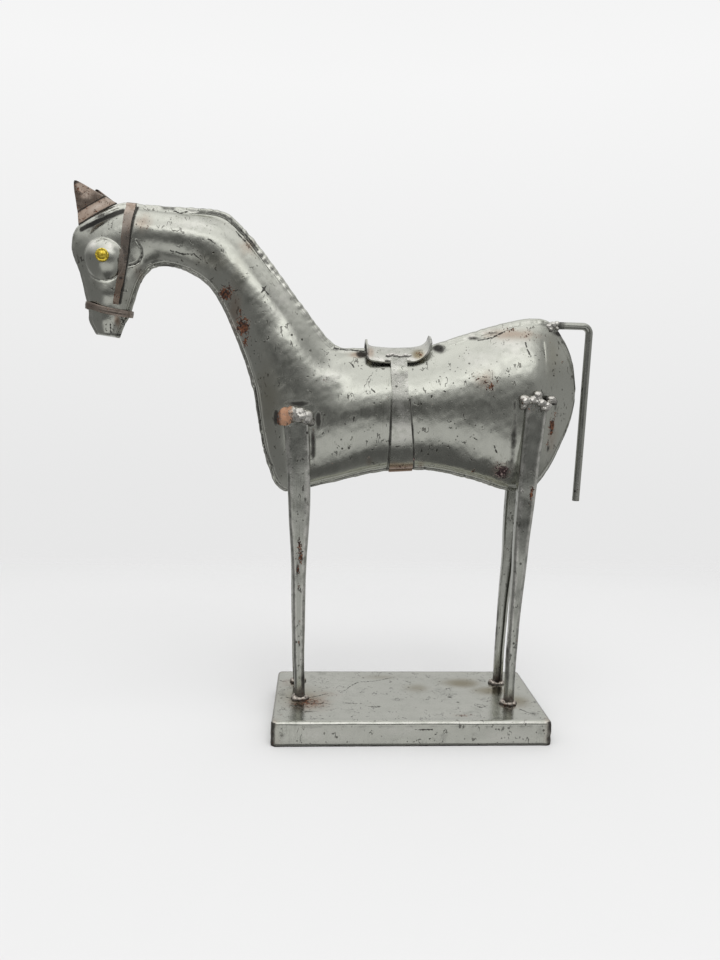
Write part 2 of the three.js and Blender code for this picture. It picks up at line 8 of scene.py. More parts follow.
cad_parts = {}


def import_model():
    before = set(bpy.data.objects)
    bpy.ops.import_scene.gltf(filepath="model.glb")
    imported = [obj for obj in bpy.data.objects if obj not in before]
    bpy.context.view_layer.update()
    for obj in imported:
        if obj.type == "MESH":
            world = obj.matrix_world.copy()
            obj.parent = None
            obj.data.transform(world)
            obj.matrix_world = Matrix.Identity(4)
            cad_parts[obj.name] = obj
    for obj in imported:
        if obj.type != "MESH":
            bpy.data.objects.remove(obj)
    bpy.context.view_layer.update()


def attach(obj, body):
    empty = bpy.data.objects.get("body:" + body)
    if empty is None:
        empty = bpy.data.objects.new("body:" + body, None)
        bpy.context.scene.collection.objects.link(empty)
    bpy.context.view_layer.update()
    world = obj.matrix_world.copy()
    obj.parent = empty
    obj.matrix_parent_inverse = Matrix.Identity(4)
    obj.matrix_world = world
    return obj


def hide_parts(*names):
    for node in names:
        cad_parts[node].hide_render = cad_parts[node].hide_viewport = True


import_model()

MM = 0.001

# ------------------------------------------------------------------ sizes, in millimetres

HORSE_Y = 7.0            # plane of the seam between the two body sheets
SHEET = 1.35             # half thickness of the body at its rim
RIDGE = 0.48             # how far down a section its widest line runs
ROOF_POWER = 0.74
UNDER_FLANGE = 1.5
RIM_BLEND = 0.028         # how softly the swell grows out of the rim

# Cross-sections of the body from the lips to the rump: the ends of its top line and
# under line (x, z), the half thickness of the swell, the width of the flat rim along
# the top line, and the size of the weld beads on the top and on the under edge.
STATIONS = [
    # top             under            swell rim  welds
    (-205.2, 340.2, -187.2, 337.8, 5.5, 1.5, 0.5, 0.7),   # lips
    (-210.4, 351, -182.4, 349.5, 8, 1.5, 0.4, 0.6),   # nose
    (-211, 362, -178, 357.6, 8.8, 1.5, 0.4, 0.5),   # noseband
    (-216.2, 388, -168.5, 384.5, 10.5, 1.5, 0.5, 0.6),  # cheek
    (-222.8, 410.2, -160.5, 395, 11.5, 1.5, 0.5, 0.9),  # forehead
    (-216.4, 428.8, -156, 397.8, 11.5, 1.5, 0.4, 1.1),  # brow
    (-185.6, 445.8, -149.5, 399.4, 12, 1.5, 0.6, 1.2),  # poll
    (-160, 445.8, -140.5, 398.8, 12.5, 2, 1.2, 1.3),  # nape
    (-127, 444.6, -129.5, 395.8, 12.5, 3, 1.5, 1.2),  # crest
    (-99.3, 442.6, -118, 389.6, 13, 6, 1.6, 0.8),   # hump
    (-79.5, 426.8, -107.8, 380.3, 13.5, 5, 1.7, 0.5),   # upper neck
    (-57, 399.2, -97, 362, 15, 3, 1.4, 0.4),    # mid neck
    (-29.5, 364, -84, 331.5, 17.5, 2, 0.8, 0.5),    # lower neck
    (-12, 342.4, -72.6, 298, 19.5, 2, 0.8, 1.5),    # neck root
    (0, 333.9, -66.5, 262, 20, 2, 0.9, 1.8),      # withers
    (12, 333.4, -59.6, 233, 20, 2, 0.6, 1.8),     # chest
    (24, 333.4, -46, 210.2, 20, 2, 0.5, 1.2),     # brisket
    (34, 333.4, -8, 217, 20.5, 2, 0.5, 1.4),      # elbow
    (42, 333.4, 25, 225.6, 21, 2, 0.5, 1.3),      # ribs
    (49.5, 333.6, 58.5, 230.8, 21.5, 2, 0.5, 1.2),      # girth
    (75, 336, 93, 229, 21.5, 2, 0.6, 1.2),      # flank
    (104, 345, 127, 221.4, 21, 2, 0.8, 1.3),    # loin
    (140, 356.8, 154.5, 213.4, 20, 2, 0.8, 1.2),    # hip
    (168.5, 362.9, 176.5, 215.8, 18.5, 3, 0.6, 1),    # croup
    (185.6, 360, 190, 231.8, 13, 5, 0.5, 0.9),    # tail root
    (199.3, 343.7, 201, 256, 7, 6, 0.6, 0.9),     # rump
    (207.2, 326, 208.2, 277, 3, 6, 0.7, 0.8),     # buttock
    (210.8, 305, 210.9, 293, 1.4, 3, 0.8, 0.8),     # rump edge
]
NOSEBAND_STATION = 2       # places of two straps in this list, counted from 0
GIRTH_STATION = 19
GIRTH_FRONT, GIRTH_REAR = -0.355, 0.26     # the girth's edges, in steps from its station
GIRTH_TOP_Z = 328.6
GIRTH_RIDGE_Z = 315.9      # height of a low ridge across the strap
STRAP_GAP = 0.85
BODY_ROWS = 600
BODY_COLUMNS = 124
SEAM_ROUND = (30, 60, 90)     # degrees round the welded edge, from the skin to the seam

EYE_X, EYE_Z, EYE_RADIUS, EYE_HEIGHT = -195.6, 400.8, 16.6, 5.5
NAIL_X, NAIL_Z, NAIL_RADIUS = -194.5, 403.0, 5.5

LEG_SHEET = 1.8
LEG_BEND = 3.4
FLANGE_BASE, FLANGE_SHARE = 2.4, 0.45
LEG_TOP_OFFSET = 22.4
FOOT_Z = 22.05
FRONT_LEG = [(-35.2, 276.4, 21.4), (-32.1, 212.6, 19.6), (-31.4, 142, 13.3),
             (-30.9, 88, 10.6), (-29.1, FOOT_Z, 9)]
REAR_LEG = [(171.4, 293, 20), (166.9, 224, 16.9), (162, 118, 10.4),
            (160.3, 70, 9), (159.3, FOOT_Z, 8.8)]
LEGS = [
    # name, side, line, foot's distance from the seam plane, foot's shift along x
    ("leg_front_left", -1, FRONT_LEG, 18.0, 0.0),
    ("leg_front_right", 1, FRONT_LEG, 26.0, -3.0),
    ("leg_rear_left", -1, REAR_LEG, 28.7, 0.0),
    ("leg_rear_right", 1, REAR_LEG, 21.0, 0.0),
]

PLINTH_X, PLINTH_HALF_X, PLINTH_HALF_Y, PLINTH_HEIGHT = 68, 120, 54, 22
PLINTH_BEND = 3               # outer radius of its folded upper edges
PLINTH_CORNER = 4.5           # radius of its upright corners
CORNER_WELD_INSET = 2.5

CAMERA_AT = (-0.01531, -0.61007, 0.30221)       # metres
CAMERA_YAW, CAMERA_PITCH, CAMERA_ROLL = 3.40, 7.62, 1.43     # degrees
CAMERA_LENS, CAMERA_SENSOR = 26.25, 36

# ------------------------------------------------------------------ numbers and noise


def spline(points, places):
    """Catmull-Rom values at places, counted in steps from the first point."""
    p = np.asarray(points, float)
    p = np.vstack([2 * p[0] - p[1], p, 2 * p[-1] - p[-2]])
    step = np.clip(np.floor(places).astype(int), 0, len(points) - 2)
    f = (places - step)[:, None]
    a, b, c, d = p[step], p[step + 1], p[step + 2], p[step + 3]
    return (b + 0.5 * f * (c - a) + f ** 2 * (a - 2.5 * b + 2 * c - 0.5 * d)
            + f ** 3 * (1.5 * (b - c) + 0.5 * (d - a)))


def smoothstep(low, high, value):
    t = np.clip((value - low) / (high - low), 0, 1)
    return t * t * (3 - 2 * t)


def bell(value, width):
    return np.exp(-(value / width) ** 2)


def ripples(points, seed, *layers):
    """A smooth random height. Each layer is a size in millimetres and a height."""
    rng = np.random.default_rng(seed)
    total = np.zeros(points.shape[:-1])
    for size, height in layers:
        for _ in range(9):
            direction = rng.normal(size=3)
            direction *= 2 * math.pi / size / np.linalg.norm(direction)
            total += height / 3 * np.sin(points @ direction + rng.uniform(0, 2 * math.pi))
    return total


def pools(places, spacing, seed):
    """Heights from 0 to 1 along a weld: one round bump for each pool of metal."""
    rng = np.random.default_rng(seed)
    total = np.zeros_like(places)
    centre = places.min() - spacing
    while centre < places.max() + spacing:
        half = spacing * rng.uniform(0.45, 0.95)
        rise = rng.uniform(0.35, 1.0)
        bump = rise * np.sqrt(np.clip(1 - ((places - centre) / half) ** 2, 0, 1))
        total = np.maximum(total, bump)
        centre += spacing * rng.uniform(0.55, 1.25)
    return total


def along_line(x, z, line):
    """Distance of points from a line of (x, z) corners, and how far along it, 0 to 1."""
    best = np.full(np.shape(x), 1e9)
    where = np.zeros(np.shape(x))
    for k, ((ax, az), (bx, bz)) in enumerate(zip(line, line[1:])):
        length = (bx - ax) ** 2 + (bz - az) ** 2
        t = np.clip(((x - ax) * (bx - ax) + (z - az) * (bz - az)) / length, 0, 1)
        away = np.hypot(x - ax - t * (bx - ax), z - az - t * (bz - az))
        where = np.where(away < best, (k + t) / (len(line) - 1), where)
        best = np.minimum(best, away)
    return best, where


def strokes(x, z, lines):
    """Closeness to the nearest of these lines: 1 on it, 0 from 3 mm away."""
    near = np.zeros(np.shape(x))
    for line in lines:
        away, _ = along_line(x, z, line)
        near = np.maximum(near, 1 - away / 3)
    return near


def blots(a, b, marks):
    """Strength of the strongest of these marks: each is (a, b, half a, half b, strength)."""
    total = np.zeros(np.shape(a))
    for at_a, at_b, half_a, half_b, strength in marks:
        spot = strength * np.exp(-((a - at_a) / half_a) ** 2 - ((b - at_b) / half_b) ** 2)
        total = np.maximum(total, spot)
    return total


# ------------------------------------------------------------------ meshes


def grid_faces(rows, columns, wrap_rows=False, wrap_columns=False, first=0):
    i, j = np.meshgrid(np.arange(rows if wrap_rows else rows - 1),
                       np.arange(columns if wrap_columns else columns - 1), indexing="ij")
    down, right = (i + 1) % rows, (j + 1) % columns
    corners = [i * columns + j, down * columns + j, down * columns + right, i * columns + right]
    return (np.stack(corners, -1).reshape(-1, 4) + first).tolist()


def end_faces(rows, columns):
    """The two faces that close the ends of a tube made of rings of points."""
    last = (rows - 1) * columns
    return [list(range(columns)), list(range(last, last + columns))[::-1]]


def tube_faces(rows, columns):
    return grid_faces(rows, columns, wrap_columns=True) + end_faces(rows, columns)


def make_mesh(name, points, faces, crease=38):
    """A smooth-shaded object from points in millimetres, with edges over crease degrees sharp."""
    mesh = bpy.data.meshes.new(name)
    mesh.from_pydata((np.asarray(points).reshape(-1, 3) * MM).tolist(), [], faces)
    mesh.update()
    work = bmesh.new()
    work.from_mesh(mesh)
    bmesh.ops.recalc_face_normals(work, faces=work.faces)
    if work.calc_volume(signed=True) < 0:
        bmesh.ops.reverse_faces(work, faces=work.faces)
    work.to_mesh(mesh)
    work.free()
    mesh.polygons.foreach_set("use_smooth", [True] * len(mesh.polygons))
    mesh.set_sharp_from_angle(angle=math.radians(crease))
    piece = bpy.data.objects.new(name, mesh)
    bpy.context.scene.collection.objects.link(piece)
    return piece


def points_of(piece):
    points = np.zeros(len(piece.data.vertices) * 3, np.float32)
    piece.data.vertices.foreach_get("co", points)
    return points.reshape(-1, 3).astype(float) / MM


def paint(piece, layer, values):
    """A number for each vertex, which the material reads under this layer's name."""
    attribute = piece.data.attributes.new(layer, "FLOAT", "POINT")
    attribute.data.foreach_set("value", np.ravel(values).astype(np.float32))


def place(piece, node, material):
    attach(piece, "root")
    if node:
        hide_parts(node)
    piece.data.materials.clear()
    piece.data.materials.append(material)
    return piece


def sheet_points(grid, thickness, towards):
    """Both faces of a sheet of even thickness that grows from a grid of points."""
    along = np.gradient(grid, axis=0)
    across = np.gradient(grid, axis=1)
    normal = np.cross(along, across)
    normal /= np.linalg.norm(normal, axis=-1, keepdims=True) + 1e-9
    flip = np.where((normal * towards).sum(-1) < 0, -1.0, 1.0)
    return np.stack([grid, grid + normal * flip[..., None] * np.asarray(thickness)[..., None]])


def sheet_mesh(name, grid, thickness, towards, wrap_rows=False, crease=38):
    rows, columns = grid.shape[:2]
    if wrap_rows:
        padded = np.concatenate([grid[-2:], grid, grid[:2]])
        out = np.concatenate([towards[-2:], towards, towards[:2]])
        thick = np.broadcast_to(thickness, padded.shape[:2])
        faces_of = sheet_points(padded, thick, out)[:, 2:-2]
    else:
        faces_of = sheet_points(grid, np.broadcast_to(thickness, grid.shape[:2]), towards)
    count = rows * columns
    faces = grid_faces(rows, columns, wrap_rows) + grid_faces(rows, columns, wrap_rows, first=count)
    run = rows if wrap_rows else rows - 1
    for i in range(run):
        k, n = i * columns, ((i + 1) % rows) * columns
        faces.append([k, n, n + count, k + count])
        last = columns - 1
        faces.append([k + last, k + last + count, n + last + count, n + last])
    if not wrap_rows:
        for j in range(columns - 1):
            end = (rows - 1) * columns
            faces.append([j, j + count, j + 1 + count, j + 1])
            faces.append([end + j, end + j + 1, end + j + 1 + count, end + j + count])
    return make_mesh(name, faces_of, faces, crease)


# ------------------------------------------------------------------ materials


class Graph:
    """A short way to write a node tree."""

    def __init__(self, tree):
        self.tree = tree
        tree.nodes.clear()

    def node(self, kind, inputs=(), **settings):
        made = self.tree.nodes.new(kind)
        for name, value in settings.items():
            setattr(made, name, value)
        for name, value in dict(inputs).items():
            self.join(value, made.inputs[name])
        return made

    def join(self, value, socket):
        if isinstance(value, bpy.types.NodeSocket):
            self.tree.links.new(value, socket)
        elif isinstance(value, bpy.types.Node):
            self.tree.links.new(value.outputs[0], socket)
        else:
            socket.default_value = value

    def math(self, operation, a, b=0.0, c=0.0, clamp=False):
        return self.node("ShaderNodeMath", {0: a, 1: b, 2: c},
                         operation=operation, use_clamp=clamp).outputs[0]

    def step(self, value, low, high):
        """0 below low, 1 above high and smooth between them."""
        return self.node("ShaderNodeMapRange", {
            "Value": value, "From Min": low, "From Max": high,
        }, interpolation_type="SMOOTHSTEP").outputs[0]

    def noise(self, where, scale, detail=4.0, rough=0.55):
        return self.node("ShaderNodeTexNoise", {
            "Vector": where, "Scale": scale, "Detail": detail, "Roughness": rough,
        }).outputs[0]

    def mix(self, share, a, b):
        made = self.node("ShaderNodeMix", data_type="RGBA")
        self.join(share, made.inputs[0])
        self.join(a, made.inputs[6])
        self.join(b, made.inputs[7])
        return made.outputs[2]

    def stretched(self, where, scale, turn=(0, 0, 0)):
        return self.node("ShaderNodeMapping", {
            "Vector": where, "Scale": scale, "Rotation": turn}).outputs[0]

    def layer(self, name):
        return self.node("ShaderNodeAttribute", attribute_name=name).outputs["Fac"]


def colour(r, g, b):
    return (r, g, b, 1.0)


PIT_DARK = colour(0.024, 0.021, 0.016)
WORN_AND_HIGHLIGHT_BRIGHT = colour(0.68, 0.665, 0.625)
HEAT_TINT = colour(0.27, 0.18, 0.125)
OLIVE_DIRT = colour(0.20, 0.17, 0.10)
SOOT_AND_SHADE_BLACK = colour(0.013, 0.011, 0.009)
RUST_DARK, RUST_BROWN = colour(0.020, 0.008, 0.005), colour(0.155, 0.052, 0.018)
PURPLE_DARK, PURPLE_PALE = colour(0.022, 0.007, 0.008), colour(0.30, 0.22, 0.20)
PEACH = colour(0.42, 0.23, 0.14)


def steel(name, pale, dark, roughness, seed=0.0, brushed=0.5):
    """Bare worn steel. Painted layers say where it is rusty, burnt, tinted, lined, worn bright, brightened
    by a painted highlight or darkened by painted shade.
    """
    material = bpy.data.materials.new(name)
    material.use_nodes = True
    g = Graph(material.node_tree)
    spot = g.node("ShaderNodeTexCoord").outputs["Object"]
    where = g.node("ShaderNodeMapping", {"Vector": spot, "Location": (seed, seed, seed)}).outputs[0]
    cloud = g.noise(where, 26, 3)
    mottle = g.noise(where, 120, 6, 0.62)
    grain = g.noise(where, 900, 5, 0.65)
    streak = g.noise(g.stretched(where, (1000, 1000, 60), (0.12, 0.08, 0.05)), 1.0, 4)

    tone = g.math("ADD", g.math("MULTIPLY", cloud, 0.34), g.math("MULTIPLY", mottle, 0.28))
    brush = g.math("MULTIPLY_ADD", g.math("SUBTRACT", streak, 0.5), 0.5 * brushed, 0.22)
    tone = g.math("ADD", tone, brush)
    tone = g.math("ADD", tone, g.math("MULTIPLY", grain, 0.16))
    base = g.mix(g.step(tone, 0.40, 0.60), dark, pale)

    # small dark pits, and short scratches
    fine = g.node("ShaderNodeTexVoronoi", {"Vector": where, "Scale": 270.0, "Randomness": 1.0})
    large = g.node("ShaderNodeTexVoronoi", {"Vector": where, "Scale": 95.0, "Randomness": 1.0})
    fine_pit = g.math("MULTIPLY", g.step(fine.outputs["Distance"], 0.20, 0.10),
                      g.step(g.noise(where, 48, 4), 0.50, 0.60))
    large_pit = g.math("MULTIPLY", g.step(large.outputs["Distance"], 0.115, 0.075),
                       g.step(g.noise(where, 34, 2), 0.50, 0.56))
    line = g.math("ABSOLUTE", g.math("SUBTRACT", g.noise(
        g.stretched(where, (170, 170, 75), (0.3, 0.5, 0.2)), 1.0, 2), 0.5))
    scratch = g.math("MULTIPLY", g.step(line, 0.026, 0.010),
                     g.step(g.noise(g.stretched(where, (1, 1, 1), (1, 2, 3)), 110, 2), 0.575, 0.62))
    flaw = g.math("MAXIMUM", g.math("MAXIMUM", fine_pit, large_pit), g.math("MULTIPLY", scratch, 0.8))
    base = g.mix(g.math("MULTIPLY", flaw, 0.85), base, PIT_DARK)

    # edges and weld crests lightened: worn bright in places, and painted highlights where the light catches
    # them
    wear = g.math("MULTIPLY", g.layer("wear"), g.step(mottle, 0.36, 0.60))
    base = g.mix(wear, base, WORN_AND_HIGHLIGHT_BRIGHT)

    # warm heat stain, olive dirt, soot and painted shade, engraved lines with painted shade in gaps, and
    # rust on top
    stain = g.math("MULTIPLY", g.layer("tint"), g.step(g.math("ADD", mottle, g.layer("tint")), 0.5, 1.1))
    base = g.mix(stain, base, HEAT_TINT)
    olive = g.math("MULTIPLY", g.layer("olive"), g.step(g.math("ADD", cloud, g.layer("olive")), 0.5, 1.2))
    base = g.mix(olive, base, OLIVE_DIRT)
    soot = g.step(g.math("MULTIPLY_ADD", mottle, 0.9, g.layer("soot")), 0.62, 1.20)
    etched = g.math("MULTIPLY_ADD", g.math("SUBTRACT", g.noise(where, 500, 4), 0.5), 0.9, g.layer("line"))
    soot = g.math("MAXIMUM", soot, g.math("MULTIPLY", g.step(etched, 0.74, 0.90), 0.95))
    base = g.mix(g.math("MULTIPLY", soot, 0.92), base, SOOT_AND_SHADE_BLACK)
    speck = g.math("SUBTRACT", g.noise(where, 330, 5, 0.62), 0.5)
    fleck = g.math("SUBTRACT", g.noise(where, 1000, 3), 0.5)
    amount = g.math("MULTIPLY_ADD", speck, 1.7, g.layer("rust"))
    amount = g.math("MULTIPLY_ADD", fleck, 1.3, amount)
    rust = g.step(amount, 0.50, 0.62)
    patch = g.noise(where, 480, 4)
    rust_colour = g.mix(g.step(patch, 0.42, 0.64), RUST_DARK, RUST_BROWN)
    purple = g.mix(g.step(patch, 0.50, 0.62), PURPLE_DARK, PURPLE_PALE)
    rust_colour = g.mix(g.step(g.layer("purple"), 0.1, 0.4), rust_colour, purple)
    rust_colour = g.mix(g.layer("peach"), rust_colour, PEACH)
    base = g.mix(rust, base, rust_colour)

    metallic = g.math("SUBTRACT", 1.0, g.math("MULTIPLY", rust, 0.95), clamp=True)
    metallic = g.math("SUBTRACT", metallic, g.math("MULTIPLY", soot, 0.6), clamp=True)
    shine = g.math("MULTIPLY_ADD", g.math("SUBTRACT", mottle, 0.5), 0.30, roughness)
    shine = g.math("MULTIPLY_ADD", g.math("SUBTRACT", cloud, 0.5), 0.14, shine)
    shine = g.math("MAXIMUM", shine, g.math("MULTIPLY", g.math("MAXIMUM", rust, soot), 0.78))

    relief = g.math("MULTIPLY_ADD", grain, 0.35, g.math("MULTIPLY", mottle, 0.75))
    relief = g.math("MULTIPLY_ADD", streak, 0.25 * brushed, relief)
    relief = g.math("MULTIPLY_ADD", flaw, -0.8, relief)
    relief = g.math("MULTIPLY_ADD", g.math("MULTIPLY", rust, g.noise(where, 900, 3)), 1.8, relief)
    bump = g.node("ShaderNodeBump", {"Strength": 0.5, "Distance": 0.00022, "Height": relief})
    surface = g.node("ShaderNodeBsdfPrincipled", {
        "Base Color": base, "Metallic": metallic, "Roughness": shine, "Normal": bump})
    g.node("ShaderNodeOutputMaterial", {"Surface": surface})
    return material


def brass_material():
    material = bpy.data.materials.new("brass")
    material.use_nodes = True
    g = Graph(material.node_tree)
    where = g.node("ShaderNodeTexCoord").outputs["Object"]
    wear = g.noise(where, 420, 5, 0.6)
    base = g.mix(g.step(wear, 0.35, 0.68), colour(0.46, 0.33, 0.035), colour(0.90, 0.72, 0.12))
    relief = g.noise(where, 900, 3)
    bump = g.node("ShaderNodeBump", {"Strength": 0.4, "Distance": 0.0002, "Height": relief})
    surface = g.node("ShaderNodeBsdfPrincipled", {
        "Base Color": base, "Metallic": 1.0, "Normal": bump,
        "Roughness": g.math("MULTIPLY_ADD", wear, 0.3, 0.2)})
    g.node("ShaderNodeOutputMaterial", {"Surface": surface})
    return material


SHEET_STEEL = steel("sheet_steel", colour(0.43, 0.435, 0.39), colour(0.28, 0.285, 0.245), 0.20)
LEG_STEEL = steel("leg_steel", colour(0.37, 0.375, 0.34), colour(0.22, 0.225, 0.195), 0.20,
                  seed=0.3, brushed=0.9)
DARK_STEEL = steel("dark_steel", colour(0.25, 0.225, 0.20), colour(0.09, 0.076, 0.064), 0.30, seed=0.7)
WELD_STEEL = steel("weld_metal", colour(0.50, 0.485, 0.45), colour(0.20, 0.19, 0.165), 0.24, seed=1.1)
PLINTH_STEEL = steel("plinth_steel", colour(0.44, 0.445, 0.40), colour(0.24, 0.245, 0.215), 0.19, seed=1.7)
BRASS = brass_material()

# ------------------------------------------------------------------ body


def body_sections():
    """Evenly spaced cross-sections from the lips to the rump."""
    table = np.array(STATIONS)
    fine = np.linspace(0, len(table) - 1, 4000)
    middle = spline((table[:, 0:2] + table[:, 2:4]) / 2, fine)
    run = edge_run(middle) + 0.7 * edge_run(spline(table[:, 0:2], fine))
    even = np.interp(np.linspace(0, run[-1], BODY_ROWS), run, fine)
    values = spline(table, even)
    return values[:, 0:2], values[:, 2:4], values[:, 4], values[:, 5], values[:, 6], values[:, 7]


def edge_run(points):
    """How far each point is along a line of points."""
    return np.concatenate([[0], np.cumsum(np.linalg.norm(np.diff(points, axis=0), axis=1))])


JAW = [(-168.1, 416.5), (-164.7, 410.6), (-164.6, 405), (-167.3, 400.2), (-171.5, 397.4), (-175.7, 396.4)]
MOUTH_DASH = [(-182.7, 376.5), (-178.2, 376.3)]
RUMP_CREASE = [(176.9, 343.4), (178.6, 322), (179, 303)]
DENTS = [
    # x, z, half length, half height, depth: shallow dents left by the hammer
    (88, 243, 24, 9, 0.9), (38, 240, 16, 8, 0.5), (-8, 300, 9, 12, 0.35),
    (-24, 330, 12, 12, 0.4), (150, 318, 14, 16, 0.4), (-52, 352, 9, 14, 0.4),
    (-92, 412, 9, 7, 0.4), (118, 252, 12, 12, 0.3), (-58, 250, 7, 18, 0.5),
]


def bulge(s):
    """Share of the full swell at s, which runs from 0 at the top rim to 1 at the under one."""
    roof = np.clip(1 - (1 - s / RIDGE) ** 2, 0, 1) ** ROOF_POWER
    belly = np.sqrt(np.clip(1 - (np.clip(s - RIDGE, 0, 1) / (1 - RIDGE)) ** 2, 0, 1))
    return np.where(s < RIDGE, roof, belly)


def body_half(side):
    """Skin points of one body sheet, with y as half thickness, and its painted edges."""
    top, under, swell, rim, top_weld, under_weld = body_sections()
    width = np.linalg.norm(under - top, axis=1)
    share = np.linspace(0, 1, BODY_COLUMNS)
    down = share - 0.62 * np.sin(2 * math.pi * share) / (2 * math.pi)
    flat = top[:, None, :] + (under - top)[:, None, :] * down[None, :, None]
    x, z = flat[..., 0].copy(), flat[..., 1].copy()
    from_top = down[None, :] * width[:, None]
    from_under = (1 - down)[None, :] * width[:, None]

    start = (rim / width)[:, None]
    end = (1 - UNDER_FLANGE / width)[:, None]
    s = (down[None, :] - start) / (end - start)
    s = np.clip(0.5 * (s + np.sqrt(s ** 2 + RIM_BLEND ** 2)), 0, 1)
    y = SHEET + (swell - SHEET)[:, None] * bulge(s)

    # the face
    from_eye = np.hypot(x - EYE_X, z - EYE_Z) / EYE_RADIUS
    y += EYE_HEIGHT * np.clip(1 - from_eye ** 2, 0, 1) ** 0.75
    y -= 0.5 * bell(from_eye - 1.0, 0.07) * smoothstep(4, -8, z - EYE_Z)
    y += 1.3 * np.exp(-((x + 197.0) / 13) ** 2 - ((z - 374.0) / 8) ** 2)
    away, _ = along_line(x, z, JAW)
    y -= 0.75 * bell(away, 0.8)
    away, _ = along_line(x, z, MOUTH_DASH)
    y -= 0.6 * bell(away, 0.8)

    # the flat rear edge, pressed along a crease
    away, _ = along_line(x, z, RUMP_CREASE)
    y -= 0.5 * bell(away, 1.4)

    # hammered dents, fading out at the welded edges
    inside = smoothstep(0, 16, np.minimum(from_top, from_under))
    inside *= 0.35 + 0.65 * smoothstep(-170, -120, x)
    place_3d = np.stack([x, y * side, z], -1)
    y += inside * ripples(place_3d, 11 + side, (75, 0.26), (38, 0.13), (22, 0.07), (13, 0.035), (8, 0.018))
    for at_x, at_z, half_x, half_z, depth in DENTS:
        y -= depth * np.exp(-((x - at_x) / half_x) ** 2 - ((z - at_z) / half_z) ** 2)
    y += 0.06 * smoothstep(0, 5, from_under) * ripples(place_3d, 21 + side, (7, 0.5), (4, 0.25))

    # weld beads along both edges, with a painted highlight on their crests and painted shade in the gaps
    # between them
    soot, wear = np.zeros_like(y), np.zeros_like(y)
    outward = (top - under) / width[:, None]
    for edge, from_edge, size, sign, seed in (
            (top, from_top, top_weld, 1, 3), (under, from_under, under_weld, -1, 5)):
        run = edge_run(edge)
        scallop = 0.65 * pools(run, 11, seed) + 0.45 * pools(run, 5, seed + 3)
        lump = pools(run, 5.5, seed + 1) * (0.4 + 0.9 * pools(run, 23, seed + 2))
        push = (size * 0.95 * (scallop - 0.42) - 0.45)[:, None] * bell(from_edge, 2.4)
        x += sign * outward[:, 0:1] * push
        z += sign * outward[:, 1:2] * push
        dome = np.sqrt(np.clip(1 - (from_edge / 3.4) ** 2, 0, 1))
        y += (size * 0.85 * lump)[:, None] * dome
        y -= (0.4 * size * (1 - lump))[:, None] * bell(from_edge - 4.2, 1.0)
        gap = np.clip(1.15 - scallop - 0.5 * lump, 0, 1)
        soot = np.maximum(soot, (gap * np.clip(0.35 + 0.5 * size, 0, 1))[:, None] * bell(from_edge, 2.6))
        crest = np.clip(lump - 0.35, 0, 1) * np.clip(0.3 + 0.6 * size, 0, 1)
        wear = np.maximum(wear, crest[:, None] * bell(from_edge - 1.2, 1.3))

    # close the muzzle
    lips = edge_run((top + under) / 2)[:, None]
    y = np.where(lips < 5, np.minimum(y, 1.2 + 9 * np.sqrt(np.clip(lips / 5.0, 0, 1))), y)

    return dict(x=x, y=y, z=z, outward=outward, soot=soot, wear=wear)


# Marks on the skin are (x, z, half length, half height, strength), and lines are (x, z) corners.
RUST_LEFT = [
    (-97, 376, 7.5, 6.5, 0.95), (-91.5, 380, 2.2, 8, 0.6), (-88, 379, 6, 1.6, 0.5),
    (-81, 349, 7, 8.5, 0.95), (-83.4, 360, 2.2, 7, 0.6), (-79.5, 337.5, 3.2, 6, 0.75),
    (125.6, 308.5, 11.5, 9, 0.42), (130, 304.5, 6, 5, 0.66), (118, 315, 7, 3, 0.42),
    (136.5, 309.5, 3, 4, 0.55), (188, 271, 3.6, 9.5, 1), (184.5, 255, 2.8, 5.5, 0.5),
    (190.5, 282, 2.8, 5, 0.5), (121.2, 231, 2.8, 2.8, 0.7), (148.7, 354.4, 9, 3.2, 0.55),
    (163, 349.5, 8, 4.5, 0.42), (134, 350.5, 6, 2.2, 0.5), (172, 345.5, 5, 3, 0.42),
    (66.8, 241.2, 2.4, 6.5, 0.62), (-78.2, 417.9, 4.5, 5, 0.45), (-70, 411, 3, 5, 0.4),
    (196, 327, 4.5, 4.5, 0.4), (-20.5, 262, 2, 12, 0.5), (-27, 252, 3, 4, 0.35),
    (-161, 428, 7, 9, 0.34), (-166, 382, 3, 3, 0.35), (74.5, 235, 2, 7, 0.4),
    (28, 240, 2, 5, 0.36), (105, 330, 5, 3, 0.3), (-10, 306, 4, 10, 0.3),
]
PURPLE_LEFT = [(145.6, 231.2, 8.5, 8.5, 0.85), (66.8, 241.2, 2.6, 7, 0.6)]
TINT_LEFT = [
    (150, 350, 30, 6, 0.6), (125.6, 310, 13, 11, 0.45), (-78.2, 416, 8, 10, 0.5),
    (-163, 431, 9, 9, 0.5), (16.2, 329, 9, 3, 0.7), (190, 262, 7, 20, 0.4),
    (-88, 362, 8, 24, 0.5), (-168, 392, 6, 10, 0.35), (-186.5, 352, 2.4, 6, 0.8),
    (145, 231, 12, 10, 0.5), (28, 238, 4, 6, 0.4), (74.5, 236, 4, 6, 0.4),
]
OLIVE_LEFT = [(-60, 290, 14, 40, 0.45), (-108, 402, 22, 10, 0.4), (186, 330, 10, 26, 0.4),
              (-180, 372, 14, 14, 0.35), (-84, 390, 10, 20, 0.35), (170, 250, 12, 24, 0.4)]
